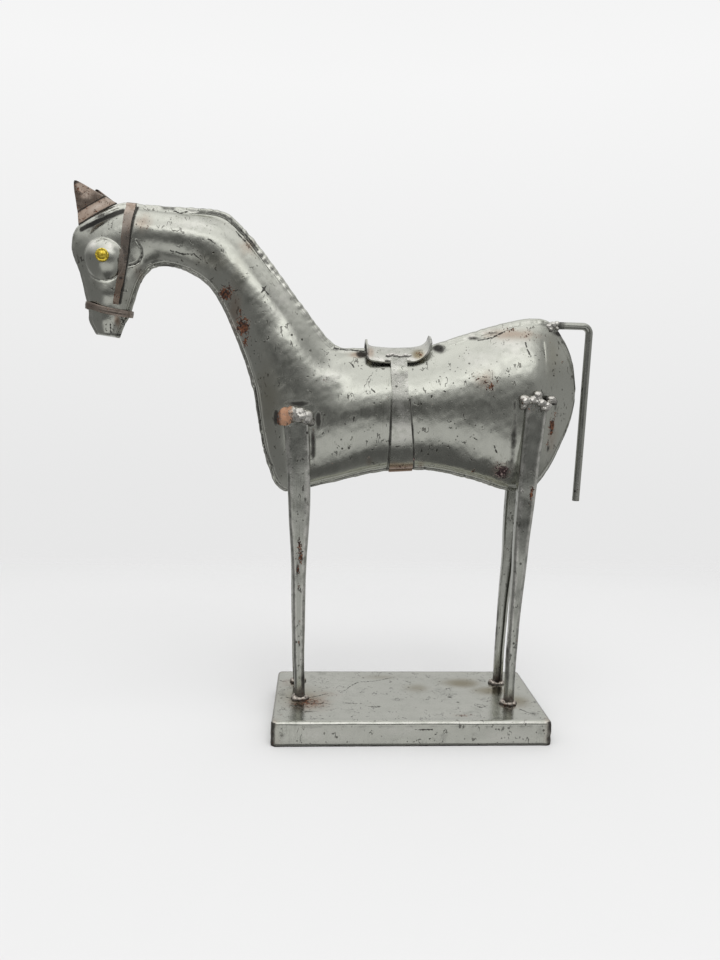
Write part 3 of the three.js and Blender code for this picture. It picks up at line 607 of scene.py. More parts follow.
SOOT_AND_SHADOW_LEFT = [
    # soot round the shoulder and hip welds; painted shadow beside the legs, under the saddle's edge and at
    # its ends, and on the brow under the ear
    (-52.5, 274, 3, 8.5, 0.95), (-34.6, 286.5, 16, 3, 0.75), (-16.5, 272, 3, 9, 0.95),
    (152, 290, 2.6, 7, 0.7), (190.5, 290, 2.4, 6, 0.6), (171.8, 299.5, 15, 2.2, 0.55),
    (-20.6, 252, 2.6, 20, 0.75), (153, 262, 3.6, 34, 0.62), (151.5, 232, 5.5, 14, 0.55),
    (87, 336.5, 8, 4.2, 0.85), (20, 329.5, 6, 3.6, 0.85), (50, 322.5, 30, 2, 0.5),
    (193, 352.5, 7, 3, 0.8), (118, 346, 8, 2.2, 0.55), (134, 351, 7, 1.8, 0.5),
    (-208, 426, 9, 9, 0.42), (-196, 436, 12, 5, 0.55), (-180, 345.5, 2, 9, 0.5),
    (-95, 371, 5, 7, 0.40), (-81, 352, 4.5, 11, 0.38), (148, 226, 5, 6, 0.55),
    (-190, 340.5, 14, 1.6, 0.7), (186, 252, 2, 5, 0.6), (0, 333, 16, 1.2, 0.5),
    (-66, 300, 2, 6, 0.5), (-62, 262, 2, 5, 0.5), (-145, 399, 18, 1.8, 0.6),
]
HIGHLIGHT_AND_WEAR_LEFT = [
    # painted highlights on the eye dome, and bright patches on the shoulder, neck, crest, loin and croup
    # that are partly wear and partly painted highlight
    (-203, 411.5, 5, 4.5, 0.75), (-187, 411, 5, 4.5, 0.85), (-207.5, 388, 3, 7, 0.3),
    (150, 341, 16, 9, 0.5), (120, 328, 14, 7, 0.35), (-120, 430, 26, 7, 0.35),
    (-8, 309, 12, 8, 0.35), (-50, 376, 8, 20, 0.3),
]
LINES_LEFT = [
    JAW, MOUTH_DASH,
    [(-92.6, 385), (-92.2, 374)], [(-99, 383), (-88.5, 378), (-84, 379.5)],
    [(-97, 380), (-91, 371.5)], [(-83.4, 364), (-82.6, 350.5), (-78, 343)],
    # the crest gap on this line is a painted shade line
    [(-86, 352), (-77.5, 357)], [(-139.5, 443), (-134, 440.8), (-128.6, 442.6)],
    [(-86.6, 432), (-78.2, 424), (-69.8, 414)], [(-88, 428), (-80, 420.5)],
    [(161, 342.8), (162.5, 337), (165.2, 331)], [(120.6, 344.1), (133, 347), (144, 352.5)],
    [(176.9, 340), (177.6, 331)], [(-141, 409.5), (-130, 407), (-122, 407.5), (-116, 403)],
    [(-66, 383), (-60, 376.5)], [(-65.5, 377.5), (-61, 385)], [(-110, 420), (-104, 416)],
    [(-191.9, 348.5), (-192.2, 341)], [(-183.2, 355), (-181.4, 346)], [(-168, 384.5), (-162, 386.5)],
    # the first line here is painted shade along the chest seam
    [(-71.7, 301.1), (-65.4, 253.7), (-56, 229)], [(136, 255), (139, 248)],
    [(116, 262), (121, 258.5)], [(-1, 252.5), (2, 250)], [(-4, 334.2), (22, 332.2)],
    [(88, 300.5), (91, 299.5)], [(10, 322), (13, 318.5)], [(28, 300), (31, 297.5)],
]
RUST_RIGHT = [
    (-92, 368, 6, 8, 0.8), (30, 300, 8, 6, 0.45), (96, 262, 11, 8, 0.5),
    (178, 300, 4, 8, 0.9), (-60, 250, 4, 7, 0.7), (140, 346, 10, 4, 0.55),
    (60, 246, 3, 3, 0.7), (-180, 384, 3, 3, 0.5), (-30, 330, 6, 5, 0.4),
]
TINT_RIGHT = [
    (96, 262, 16, 12, 0.4), (150, 345, 28, 8, 0.5), (-70, 400, 12, 18, 0.4),
    (-60, 255, 10, 22, 0.4), (185, 280, 10, 26, 0.4),
]
SOOT_AND_SHADOW_RIGHT = [
    # soot round the shoulder and hip welds; painted shadow under the saddle's edge and at its ends, and on
    # the brow under the ear
    (-52.5, 274, 3, 8.5, 0.9), (-34.6, 286.5, 16, 3, 0.7), (-16.5, 272, 3, 9, 0.8),
    (152, 290, 2.6, 7, 0.7), (190.5, 290, 2.4, 6, 0.6), (171.8, 299.5, 15, 2.2, 0.5),
    (87, 336.5, 8, 4.2, 0.8), (20, 329.5, 6, 3.6, 0.8), (50, 322.5, 30, 2, 0.5),
    (-208, 426, 9, 9, 0.42), (-196, 436, 12, 5, 0.55),
]
LINES_RIGHT = [JAW, [(100, 300), (112, 296)], [(-80, 400), (-70, 392)],
               [(20, 262), (26, 255)], [(150, 330), (158, 336)], [(-20, 300), (-14, 306)]]
EAR_FOOT = [(-214.5, 425), (-197.2, 433), (-180.3, 440.3)]
HEADSTALL_EDGE = [(-183.6, 366), (-176.3, 400), (-168.6, 444)]


def build_body(side, name):
    form = body_half(side)
    x, y, z = form["x"], form["y"], form["z"]
    count = BODY_COLUMNS
    columns = [np.stack([x, y, z], -1)]
    left, right = [], []
    for degrees in SEAM_ROUND:
        turn = math.radians(degrees)
        for edge, sign, store in ((0, 1, left), (count - 1, -1, right)):
            half = y[:, edge]
            reach = 0.75 * half * math.sin(turn)
            rounded = np.stack([
                x[:, edge] + sign * form["outward"][:, 0] * reach,
                np.maximum(half * math.cos(turn), 0.01),
                z[:, edge] + sign * form["outward"][:, 1] * reach], -1)
            store.append(rounded[:, None])
    grid = np.concatenate(left[::-1] + columns + right, axis=1)
    total = grid.shape[1]
    extra = len(SEAM_ROUND)
    faces = grid_faces(BODY_ROWS, total)
    for i in range(BODY_ROWS - 1):
        faces.append([i * total, i * total + total - 1, (i + 1) * total + total - 1, (i + 1) * total])
    faces += end_faces(BODY_ROWS, total)
    points = grid.copy()
    points[..., 1] = HORSE_Y + side * grid[..., 1]
    piece = make_mesh(f"{name}_sheet", points, faces, 60)

    def spread(values):
        return np.pad(values, ((0, 0), (extra, extra)), mode="edge")

    gx, gz = grid[..., 0], grid[..., 2]
    left = side < 0
    paint(piece, "rust", blots(gx, gz, RUST_LEFT + PURPLE_LEFT if left else RUST_RIGHT))
    paint(piece, "tint", blots(gx, gz, TINT_LEFT if left else TINT_RIGHT))
    ear_shade = 1.0 * bell(along_line(gx, gz, EAR_FOOT)[0], 2.6)
    strap_shade = 0.85 * bell(along_line(gx, gz, HEADSTALL_EDGE)[0], 1.5)
    soot = np.maximum.reduce([spread(form["soot"]), blots(gx, gz, SOOT_AND_SHADOW_LEFT if left else SOOT_AND_SHADOW_RIGHT),
                              ear_shade, strap_shade])
    # painted shadow along both edges of the girth, on the skin beside the strap
    for offset, shift in ((GIRTH_FRONT, -1.0), (GIRTH_REAR, 1.0)):
        strap_edge = girth_edge(GIRTH_STATION + offset, 30)[:, [0, 2]] + [shift, 0]
        soot = np.maximum(soot, 0.8 * bell(along_line(gx, gz, strap_edge.tolist())[0], 1.2))
    paint(piece, "soot", soot)
    paint(piece, "line", strokes(gx, gz, LINES_LEFT if left else LINES_RIGHT))
    if left:
        paint(piece, "purple", blots(gx, gz, PURPLE_LEFT))
        paint(piece, "olive", blots(gx, gz, OLIVE_LEFT))
        paint(piece, "wear", np.maximum(spread(form["wear"]), blots(gx, gz, HIGHLIGHT_AND_WEAR_LEFT)))
    else:
        paint(piece, "wear", spread(form["wear"]))
    return place(piece, name, SHEET_STEEL)


def girth_edge(station, rows):
    """Skin points under one edge of the girth, from the widest line down to the belly."""
    values = spline(STATIONS, np.array([station]))[0]
    top, under, swell = values[0:2], values[2:4], values[4]
    width = np.linalg.norm(under - top)
    down = 0.4 + 0.6 * np.sin(math.pi / 2 * np.linspace(0, 1, rows))
    start, end = values[5] / width, 1 - UNDER_FLANGE / width
    s = np.clip((down - start) / (end - start), 0, 1)
    y = SHEET + (swell - SHEET) * bulge(s) + STRAP_GAP
    flat = top + (under - top) * down[:, None]
    return np.stack([flat[:, 0], y, flat[:, 1]], -1)


build_body(-1, "body_left")
build_body(1, "body_right")
SKIN = body_half(-1)


def both_sides(half):
    """Points with y as half thickness, laid along the left side and then back along the right."""
    left, right = half.copy(), half[::-1][1:].copy()
    left[..., 1] = HORSE_Y - left[..., 1]
    right[..., 1] = HORSE_Y + right[..., 1]
    return np.concatenate([left, right])


def half_thickness(x, z):
    """Half thickness of the body's skin beside points of the seam plane."""
    flat = np.stack([SKIN["x"], SKIN["z"]], -1).reshape(-1, 2)
    heights = SKIN["y"].reshape(-1)
    found = []
    for px, pz in zip(np.ravel(x), np.ravel(z)):
        away = (flat[:, 0] - px) ** 2 + (flat[:, 1] - pz) ** 2
        near = np.argpartition(away, 8)[:8]
        weight = 1 / (away[near] + 0.02)
        found.append((weight * heights[near]).sum() / weight.sum())
    return np.array(found).reshape(np.shape(x))


# ------------------------------------------------------------------ legs and tail


def channel(width, steps=8):
    """A leg's channel section: x along the outer face, y towards the horse."""
    outer, inner = width / 2, width / 2 - LEG_SHEET
    depth = FLANGE_BASE + FLANGE_SHARE * width
    turns = np.linspace(0, math.pi / 2, steps)
    face = [(outer, depth), (outer, depth * 0.6 + LEG_BEND * 0.4)]
    face += [(outer - LEG_BEND * (1 - math.cos(t)), LEG_BEND * (1 - math.sin(t))) for t in turns]
    small = LEG_BEND - LEG_SHEET
    back = [(inner, depth)]
    back += [(inner - small * (1 - math.cos(t)), LEG_SHEET + small * (1 - math.sin(t))) for t in turns]
    flat = [(px, 0.0) for px in np.linspace(LEG_BEND - outer, outer - LEG_BEND, 12)[1:-1]]
    mirror = [(-px, py) for px, py in face] + flat
    mirror_back = [(-px, py) for px, py in back]
    return np.array(mirror + face[::-1] + back + mirror_back[::-1])


def build_leg(name, side, line, foot_offset, foot_shift):
    rows = 90
    steps = np.linspace(0, len(line) - 1, 400)
    run = spline(line, steps)[:, 1]
    heights = np.linspace(run[0], run[-1], rows)
    centres = spline([(x, width) for x, _, width in line], np.interp(-heights, -run, steps))
    rings = []
    for height, (centre, width) in zip(heights, centres):
        fall = (line[0][1] - height) / (line[0][1] - FOOT_Z)
        offset = LEG_TOP_OFFSET + (foot_offset - LEG_TOP_OFFSET) * fall
        section = channel(width)
        rings.append(np.stack([
            centre + foot_shift * fall + section[:, 0],
            HORSE_Y + side * (offset - section[:, 1]),
            np.full(len(section), height)], -1))
    rings = np.array(rings)
    seed = sum(map(ord, name))
    rings[..., 0] += ripples(rings, seed, (60, 0.28), (17, 0.05))
    rings[..., 1] += ripples(rings, seed + 1, (55, 0.30), (15, 0.06))
    total = rings.shape[1]
    piece = make_mesh(f"{name}_channel", rings, tube_faces(rows, total), 42)
    points = points_of(piece)
    px, pz = points[:, 0], points[:, 2]
    foot = smoothstep(46, 22, pz)
    paint(piece, "rust", np.maximum(blots(px, pz, LEG_RUST.get(name, [])), 0.34 * foot))
    paint(piece, "tint", 0.5 * foot)
    paint(piece, "soot", np.maximum.reduce([
        0.62 * smoothstep(52, 22, pz), 0.5 * smoothstep(268, 290, pz),
        blots(px, pz, LEG_SOOT_AND_SHADOW.get(name, []))]))
    section_wear = np.interp(np.arange(total), *leg_wear(total))
    paint(piece, "wear", np.broadcast_to(section_wear, (rows, total)) * smoothstep(40, 70, rings[..., 2]))
    return place(piece, name, LEG_STEEL)


def leg_wear(total):
    """Where round its section a leg gets a painted highlight: along its two folds, whose rounded bends catch
    the light.
    """
    first, second, reach = 7, 22, 4
    places = [0, first - reach, first, first + reach,
              second - reach, second, second + reach, total]
    return places, [0, 0.1, 0.75, 0, 0, 0.75, 0.1, 0]


LEG_RUST = {
    "leg_front_left": [(-31, 163, 2.2, 9, 0.85), (-30, 155, 2.6, 10, 0.8),
                       (-32, 142, 2.2, 8, 0.62), (-31.5, 128, 1.8, 5, 0.5),
                       (-30.5, 75.3, 1.6, 3, 0.7), (-30, 94, 1.4, 3, 0.5)],
    "leg_rear_left": [(169.5, 212.5, 2.4, 7, 0.85), (170.8, 217, 1.6, 5, 0.7),
                      (163.5, 79.9, 1.6, 4, 0.62), (163, 90, 1.3, 4, 0.5),
                      (165, 286, 9, 4.5, 0.42)],
    "leg_front_right": [(-32, 110, 2, 6, 0.7), (-31, 190, 3, 5, 0.6)],
    "leg_rear_right": [(163, 150, 2, 8, 0.8), (167, 230, 3, 4, 0.6)],
}
LEG_SOOT_AND_SHADOW = {
    # dark spots, with painted shadow down the channels' open edges on the far legs
    "leg_front_left": [(-26, 262, 1.6, 1.6, 1), (-29, 240, 2.4, 1.8, 0.9), (-32.6, 141, 1.2, 7, 0.8),
                       (-32, 226, 3, 2, 0.5), (-26.6, 204, 1.6, 3, 0.8), (-31.5, 126, 1, 1.4, 1),
                       (-26, 40, 2.5, 22, 0.7), (-30, 74, 1.2, 3, 0.8)],
    "leg_rear_left": [(168.5, 231.5, 3, 1.2, 0.9), (171, 229, 1.2, 1.6, 0.8), (168, 205, 1.4, 3, 0.9),
                      (156, 60, 2.2, 34, 0.6), (163, 48, 2, 9, 0.5)],
    "leg_rear_right": [(155, 200, 3, 26, 0.9), (155, 90, 2.2, 60, 0.6)],
    "leg_front_right": [(-36, 60, 2.2, 40, 0.5)],
}

for spec in LEGS:
    build_leg(*spec)


def build_tail():
    radius, bend = 3.175, 6.4
    start, corner, end = (191.6, 359.3), (220.5, 359.3), (218.5, 204.2)
    turn = math.pi / 2 + math.atan2(corner[0] - end[0], corner[1] - end[1])
    stops = []
    for t in np.linspace(0, 1, 12):
        stops.append((start[0] - 2 + t * (corner[0] - bend - start[0] + 2), start[1], 0))
    for t in np.linspace(0, turn, 16)[1:]:
        stops.append((corner[0] - bend * (1 - math.sin(t)), corner[1] - bend * (1 - math.cos(t)), t))
    bx, bz, _ = stops[-1]
    for t in np.linspace(0, 1, 50)[1:]:
        stops.append((bx + t * (end[0] - bx), bz + t * (end[1] - bz), turn))
    # a small bevel at the sawn end
    stops.append((end[0], end[1] - 0.35, turn))
    around = np.linspace(0, 2 * math.pi, 32, endpoint=False)
    rings = []
    for k, (sx, sz, angle) in enumerate(stops):
        r = radius * (0.9 if k == len(stops) - 1 else 1.0)
        out = r * np.cos(around)
        rings.append(np.stack([sx + out * math.sin(angle), HORSE_Y + r * np.sin(around),
                               sz + out * math.cos(angle)], -1))
    rings = np.array(rings)
    rings[..., 0] += ripples(rings, 71, (90, 0.16))
    piece = make_mesh("tail_rod", rings, tube_faces(*rings.shape[:2]), 40)
    points = points_of(piece)
    px, pz = points[:, 0], points[:, 2]
    paint(piece, "rust", blots(px, pz, [(219.0, 214.0, 6.0, 5.0, 0.35)]))
    paint(piece, "soot", np.maximum(0.6 * smoothstep(203, 192, px) * smoothstep(350, 352, pz),
                                    0.5 * smoothstep(208, 203, pz)))
    return place(piece, "tail", LEG_STEEL)


build_tail()

# ------------------------------------------------------------------ weld metal


def lump(name, node, blobs, voxel, seed, rough=0.35):
    """Weld metal run together from round blobs: each is (centre, half sizes)."""
    work = bmesh.new()
    for centre, half in blobs:
        size = Matrix.Translation(Vector(centre)) @ Matrix.Diagonal((*half, 1))
        bmesh.ops.create_icosphere(work, subdivisions=3, radius=1, matrix=size)
    mesh = bpy.data.meshes.new(name)
    work.to_mesh(mesh)
    work.free()
    mesh.transform(Matrix.Scale(MM, 4))
    piece = bpy.data.objects.new(name, mesh)
    bpy.context.scene.collection.objects.link(piece)
    union = piece.modifiers.new("union", "REMESH")
    union.mode = "VOXEL"
    union.voxel_size = voxel * MM
    soften = piece.modifiers.new("soften", "SMOOTH")
    soften.factor = 0.6
    soften.iterations = 4
    done = bpy.data.meshes.new_from_object(
        piece.evaluated_get(bpy.context.evaluated_depsgraph_get()))
    piece.modifiers.clear()
    piece.data = done
    points = points_of(piece)
    centre = points.mean(0)
    away = points - centre
    away /= np.linalg.norm(away, axis=1, keepdims=True) + 1e-6
    points += away * ripples(points, seed, (9, rough), (5, rough * 0.6), (2.6, rough * 0.3))[:, None]
    done.vertices.foreach_set("co", (points * MM).ravel())
    done.polygons.foreach_set("use_smooth", [True] * len(done.polygons))
    done.update()
    return place(piece, node, WELD_STEEL), points


def leg_weld(spec, blobs, seed, peach, dull, rough):
    name, side, line, _, _ = spec
    top_x, top_z = line[0][0], line[0][1]
    placed = []
    for dx, out, dz, half_x, half_y, half_z in blobs:
        placed.append(((top_x + dx, HORSE_Y + side * (LEG_TOP_OFFSET + out), top_z + dz),
                       (half_x, half_y, half_z)))
    piece, points = lump(f"{name}_weld_metal", f"{name}_weld", placed, 0.55, seed, rough)
    outwards = side * (points[:, 1] - HORSE_Y) - LEG_TOP_OFFSET
    burnt = smoothstep(top_x - 1, top_x - 4, points[:, 0]) * smoothstep(top_x - 15, top_x - 12, points[:, 0])
    paint(piece, "rust", (0.35 + 0.45 * peach) * smoothstep(top_x + 1, top_x - 8, points[:, 0]))
    paint(piece, "peach", peach * burnt)
    paint(piece, "tint", 0.8 * peach * burnt)
    # painted shade where the weld meets the body and on its underside, and a painted highlight on its outer
    # face
    rim = smoothstep(1.0, -3.5, outwards)
    low = smoothstep(top_z - 4, top_z - 8, points[:, 2])
    paint(piece, "soot", np.maximum(np.maximum(0.75 * rim, 0.55 * low), dull))
    paint(piece, "wear", 0.6 * (1 - dull) * smoothstep(0.5, 2.5, outwards))
    return piece


# (along, outwards, up, then half sizes), from the top of the leg's outer face
SHOULDER_BLOBS = [
    (-9, -2.5, -1.5, 7, 5, 8), (-3.5, -0.5, 1, 6, 4.4, 7.5), (3, -1, 0.5, 6.5, 4.8, 7),
    (9, -1.5, -1.5, 6, 4.6, 6.5), (12.5, -4, -4.5, 4, 4, 5), (-13, -5, -3.5, 3.5, 3.5, 5.5),
    (5.5, 1.4, -0.5, 3, 3, 3),
]
HIP_BLOBS = [
    (-11, -2, 0.5, 5, 4.6, 5.2), (-12, -2.5, -4, 3.6, 4, 3.4), (-5, -1, 1, 4.6, 4, 3.8),
    (0, -0.5, 4.5, 3.8, 3.8, 4.8), (2, 0.6, -0.5, 4.6, 3.8, 3.6), (8, -0.6, -3, 4.4, 4, 3.4),
    (6, -0.2, -6, 4, 3.4, 2.6), (12.5, -3, 2, 5, 4, 3.4), (15.5, -4.5, 0, 3, 3.4, 3),
]


def turned(blobs):
    """The same blobs the other way round along x, so that a pair of welds differs."""
    return [(-along, *rest) for along, *rest in blobs]


# leg, blobs, seed, peach heat tint, dullness, roughness
leg_weld(LEGS[0], SHOULDER_BLOBS, 31, 0.9, 0.30, 0.32)
leg_weld(LEGS[1], turned(SHOULDER_BLOBS), 32, 0.3, 0.25, 0.32)
leg_weld(LEGS[2], HIP_BLOBS, 33, 0.0, 0.0, 0.42)
leg_weld(LEGS[3], turned(HIP_BLOBS), 34, 0.2, 0.1, 0.42)


def foot_weld(spec, seed):
    name, side, line, foot_offset, foot_shift = spec
    x = line[-1][0] + foot_shift
    rng = np.random.default_rng(seed)
    blobs = []
    for angle in np.linspace(0, 2 * math.pi, 8, endpoint=False):
        size = rng.uniform(1.9, 3.1)
        y = HORSE_Y + side * (foot_offset - 3.0) + 4.0 * math.sin(angle)
        blobs.append(((x + 5.2 * math.cos(angle), y, 22.4),
                      (size * 1.15, size, size * rng.uniform(0.7, 1.25))))
    piece, points = lump(f"{name}_foot_weld_metal", f"{name}_foot_weld", blobs, 0.45, seed, 0.25)
    paint(piece, "rust", 0.25 + 0.3 * ripples(points, seed, (9, 0.5)))
    paint(piece, "tint", np.full(len(points), 0.45))
    # painted shade low down against the plinth and a painted highlight on top
    paint(piece, "soot", 0.3 + 0.4 * smoothstep(23.6, 22.2, points[:, 2]))
    paint(piece, "wear", 0.6 * smoothstep(23.6, 25.0, points[:, 2]))
    return piece


for number, spec in enumerate(LEGS):
    foot_weld(spec, 51 + number)


def tail_weld():
    blobs = [
        ((183.6, HORSE_Y - 1.0, 358.2), (3.2, 3.4, 3.0)),
        ((187.2, HORSE_Y - 2.0, 359.6), (3.2, 3.6, 3.2)),
        ((190.6, HORSE_Y - 0.5, 360.6), (2.8, 4.2, 3.0)),
        ((187.6, HORSE_Y + 2.2, 358.6), (3.6, 3.4, 3.2)),
        ((185.2, HORSE_Y - 2.6, 355.6), (2.2, 2.4, 1.8)),
        ((191.0, HORSE_Y - 1.6, 356.6), (2.4, 2.8, 1.8)),
    ]
    piece, points = lump("tail_weld_metal", "tail_weld", blobs, 0.4, 61, 0.25)
    # painted shade underneath and a painted highlight on top
    paint(piece, "soot", 0.55 * smoothstep(357.5, 354, points[:, 2]))
    paint(piece, "wear", 0.6 * smoothstep(358, 362, points[:, 2]))
    return piece


tail_weld()

# ------------------------------------------------------------------ head


def build_ear(name, side, tip):
    rows, columns = 46, 40
    up, back = np.meshgrid(np.linspace(0, 1, rows), np.linspace(0, 1, columns), indexing="ij")
    front = np.array([-213.2, 13.0, 426.0])
    rear = np.array([-185.0, 5.5, 446.0])
    tip = np.array(tip)
    along = (rear - front) / np.linalg.norm(rear - front)
    base = front + (rear - front) * back[..., None]
    point = base + (tip + along * (back[..., None] - 0.5) - base) * up[..., None]
    hem = 2.4 * (1 - smoothstep(0, 0.22, up)) * np.sin(math.pi * back)
    point[..., 1] += 2.5 * np.sin(math.pi * back) * np.sin(math.pi * up) + hem
    point[..., 1] -= 1.1 * bell(up - 0.30, 0.07) * np.sin(math.pi * back)
    point[..., 1] += ripples(point, 81 + side, (22, 0.5), (11, 0.22), (5, 0.06))
    point[..., 1] = HORSE_Y + side * point[..., 1]
    towards = np.zeros_like(point)
    towards[..., 1] = side
    piece = sheet_mesh(f"{name}_leaf", point, 1.2, towards, crease=50)
    # darker at the tip and across the middle; painted shade along the foot of the leaf and in its crease;
    # painted highlight along the rolled hem and the upper rear edge
    paint(piece, "soot", np.stack(2 * [np.maximum.reduce([
        0.95 * smoothstep(0.80, 0.97, up), 0.48 * bell(up - 0.45, 0.2), 0.9 * smoothstep(0.05, 0.0, up),
        0.75 * bell(up - 0.30, 0.035)])]))
    paint(piece, "tint", np.stack(2 * [0.5 + 0 * up]))
    paint(piece, "rust", np.stack(2 * [0.28 + 0.1 * up]))
    paint(piece, "wear", np.stack(2 * [np.maximum(
        0.5 * bell(up - 0.15, 0.07) * smoothstep(0.2, 0.6, back),
        0.8 * smoothstep(0.94, 1.0, back) * (up < 0.85))]))
    return place(piece, name, DARK_STEEL)


build_ear("ear_left", -1, (-217.1, 9.0, 461.6))
build_ear("ear_right", 1, (-206.3, 9.0, 460.4))


def build_nail(name, side):
    # radius and height, from the middle of the dome over its rim to the underside
    profile = [(0, 2.75), (0.8, 2.7), (1.6, 2.55), (2.3, 2.3), (2.9, 1.9), (3.3, 1.55),
               (3.6, 1.35), (3.9, 1.4), (4.3, 1.72), (4.7, 1.85), (5.1, 1.72), (5.4, 1.3),
               (5.5, 0.7), (5.45, 0.0), (0, 0.0)]
    around = np.linspace(0, 2 * math.pi, 64, endpoint=False)
    rings = []
    for r, h in profile[1:-1]:
        wobble = 1 + 0.012 * np.sin(9 * around) + 0.01 * np.sin(5 * around + 1)
        lift = h + (0.10 * np.sin(14 * around) if 4.0 < r < 5.2 else 0.0)
        rings.append(np.stack([r * wobble * np.cos(around), np.broadcast_to(lift, around.shape),
                               r * wobble * np.sin(around)], -1))
    rings = np.array(rings)
    count = len(around)
    body = rings.reshape(-1, 3)
    points = np.vstack([body, [[0, profile[0][1], 0], [0, 0, 0]]])
    faces = grid_faces(len(rings), count, wrap_columns=True)
    last = (len(rings) - 1) * count
    for k in range(count):
        faces.append([k, (k + 1) % count, len(body)])
        faces.append([last + (k + 1) % count, last + k, len(body) + 1])
    points[:, 1] += 0.12 * ripples(points, 91, (4.5, 0.6), (2.2, 0.4)) * (points[:, 1] > 0.5)
    seat = float(half_thickness([NAIL_X], [NAIL_Z])[0])
    points[:, 0] += NAIL_X
    points[:, 2] += NAIL_Z
    points[:, 1] = HORSE_Y + side * (seat - 0.3 + points[:, 1])
    return place(make_mesh(f"{name}_head", points, faces, 60), name, BRASS)


build_nail("eye_nail_left", -1)
build_nail("eye_nail_right", 1)


def plain_marks(piece, **layers):
    """Paint several layers, each with one number or a number for each vertex."""
    count = len(piece.data.vertices)
    for layer, value in layers.items():
        paint(piece, layer, np.broadcast_to(value, (count,)))


def smoothed(values, span=9):
    """The running mean of values, with the same count."""
    padded = np.pad(values, span // 2, mode="edge")
    return np.convolve(padded, np.ones(span) / span, "valid")


def build_headstall():
    rows = 90
    line = spline([(-186.8, 365.0), (-179.4, 400), (-173.6, 444)], np.linspace(0, 2, rows))
    share = np.linspace(0, 1, rows)
    half = (4.2 + (7.6 - 4.2) * share) / 2 + 0.12 * np.sin(share * 29)
    across = np.linspace(-1, 1, 7)
    x = line[:, 0:1] + half[:, None] * across
    z = line[:, 1:2] - 0.06 * half[:, None] * across
    y = half_thickness(x, z)
    y = np.maximum(y, y[:, 3:4] - 0.6) + 0.15
    y = np.maximum(y, np.apply_along_axis(smoothed, 0, y))
    side = np.stack([x, y, z], -1)
    over = []
    for t in np.linspace(0, 1, 9)[1:]:
        turn = t * math.pi / 2
        rise = 2.4 * math.sin(turn) + 1.0
        over.append(np.stack([x[-1], np.full(7, 0.0) + y[-1] * math.cos(turn), z[-1] + rise], -1))
    side = np.concatenate([side, np.array(over)])
    grid = both_sides(side)
    towards = np.zeros_like(grid)
    towards[..., 1] = grid[..., 1] - HORSE_Y
    towards[..., 2] = 6 * np.clip(grid[..., 2] - 444, 0, 9)
    piece = sheet_mesh("headstall_strap", grid, 1.1, towards, crease=45)
    points = points_of(piece)
    px, pz = points[:, 0], points[:, 2]
    plain_marks(piece, tint=0.3 + 0.3 * smoothstep(435, 446, pz) + 0.25 * smoothstep(400, 380, pz),
                wear=0.75 * smoothstep(436, 445, pz), rust=0.27,
                soot=np.maximum(0.15, blots(px, pz, [(-181.5, 386.0, 2.4, 2.0, 0.8)])))
    return place(piece, "headstall", DARK_STEEL)


build_headstall()


def build_noseband():
    steps, across = 96, 7
    station = STATIONS[NOSEBAND_STATION]
    front, rear, swell = np.array(station[0:2]), np.array(station[2:4]), station[4]
    centre = (front + rear) / 2
    axis = (rear - front) / np.linalg.norm(rear - front)
    up = np.array([-axis[1], axis[0]])
    reach = np.linalg.norm(rear - front) / 2 + 1.6
    bulk = swell + 1.3
    angle = np.linspace(0, 2 * math.pi, steps, endpoint=False)
    grid = np.zeros((steps, across, 3))
    for j, lift in enumerate(np.linspace(-2.8, 2.8, across)):
        squeeze = 1 + 0.06 * np.sign(lift) * min(1, abs(lift))
        a = reach * np.sign(np.cos(angle)) * np.abs(np.cos(angle)) ** 0.8
        b = bulk * squeeze * np.sign(np.sin(angle)) * np.abs(np.sin(angle)) ** 0.8
        rise = lift + 0.5 * np.sin(2 * angle + 0.6) + 1.5 * smoothstep(0.55, 0.0, (a / reach + 1) / 2)
        grid[:, j, 0] = centre[0] + axis[0] * a + up[0] * rise
        grid[:, j, 2] = centre[1] + axis[1] * a + up[1] * rise
        grid[:, j, 1] = HORSE_Y + b
    towards = grid - np.array([centre[0], HORSE_Y, centre[1]])
    crown = 1.3 + 0.25 * np.cos(np.linspace(-1, 1, across) * math.pi / 2)
    thickness = crown[None, :] * np.ones((steps + 4, 1))
    piece = sheet_mesh("noseband_strap", grid, thickness, towards, wrap_rows=True, crease=50)
    line = np.broadcast_to(0.9 * bell(np.linspace(-1, 1, across), 0.16), (steps, across))
    paint(piece, "line", np.stack([0 * line, line]))
    plain_marks(piece, tint=0.45, soot=0.1, rust=0.28, wear=0.3)
    return place(piece, "noseband", DARK_STEEL)


build_noseband()

# ------------------------------------------------------------------ saddle and girth

SADDLE_SPINE = [(22.8, 342.6), (23.4, 338.6), (27, 335.5), (36, 334.3), (50, 334.3),
                (64, 335.1), (72.6, 337.4), (77.6, 341.6), (79.6, 346.6)]


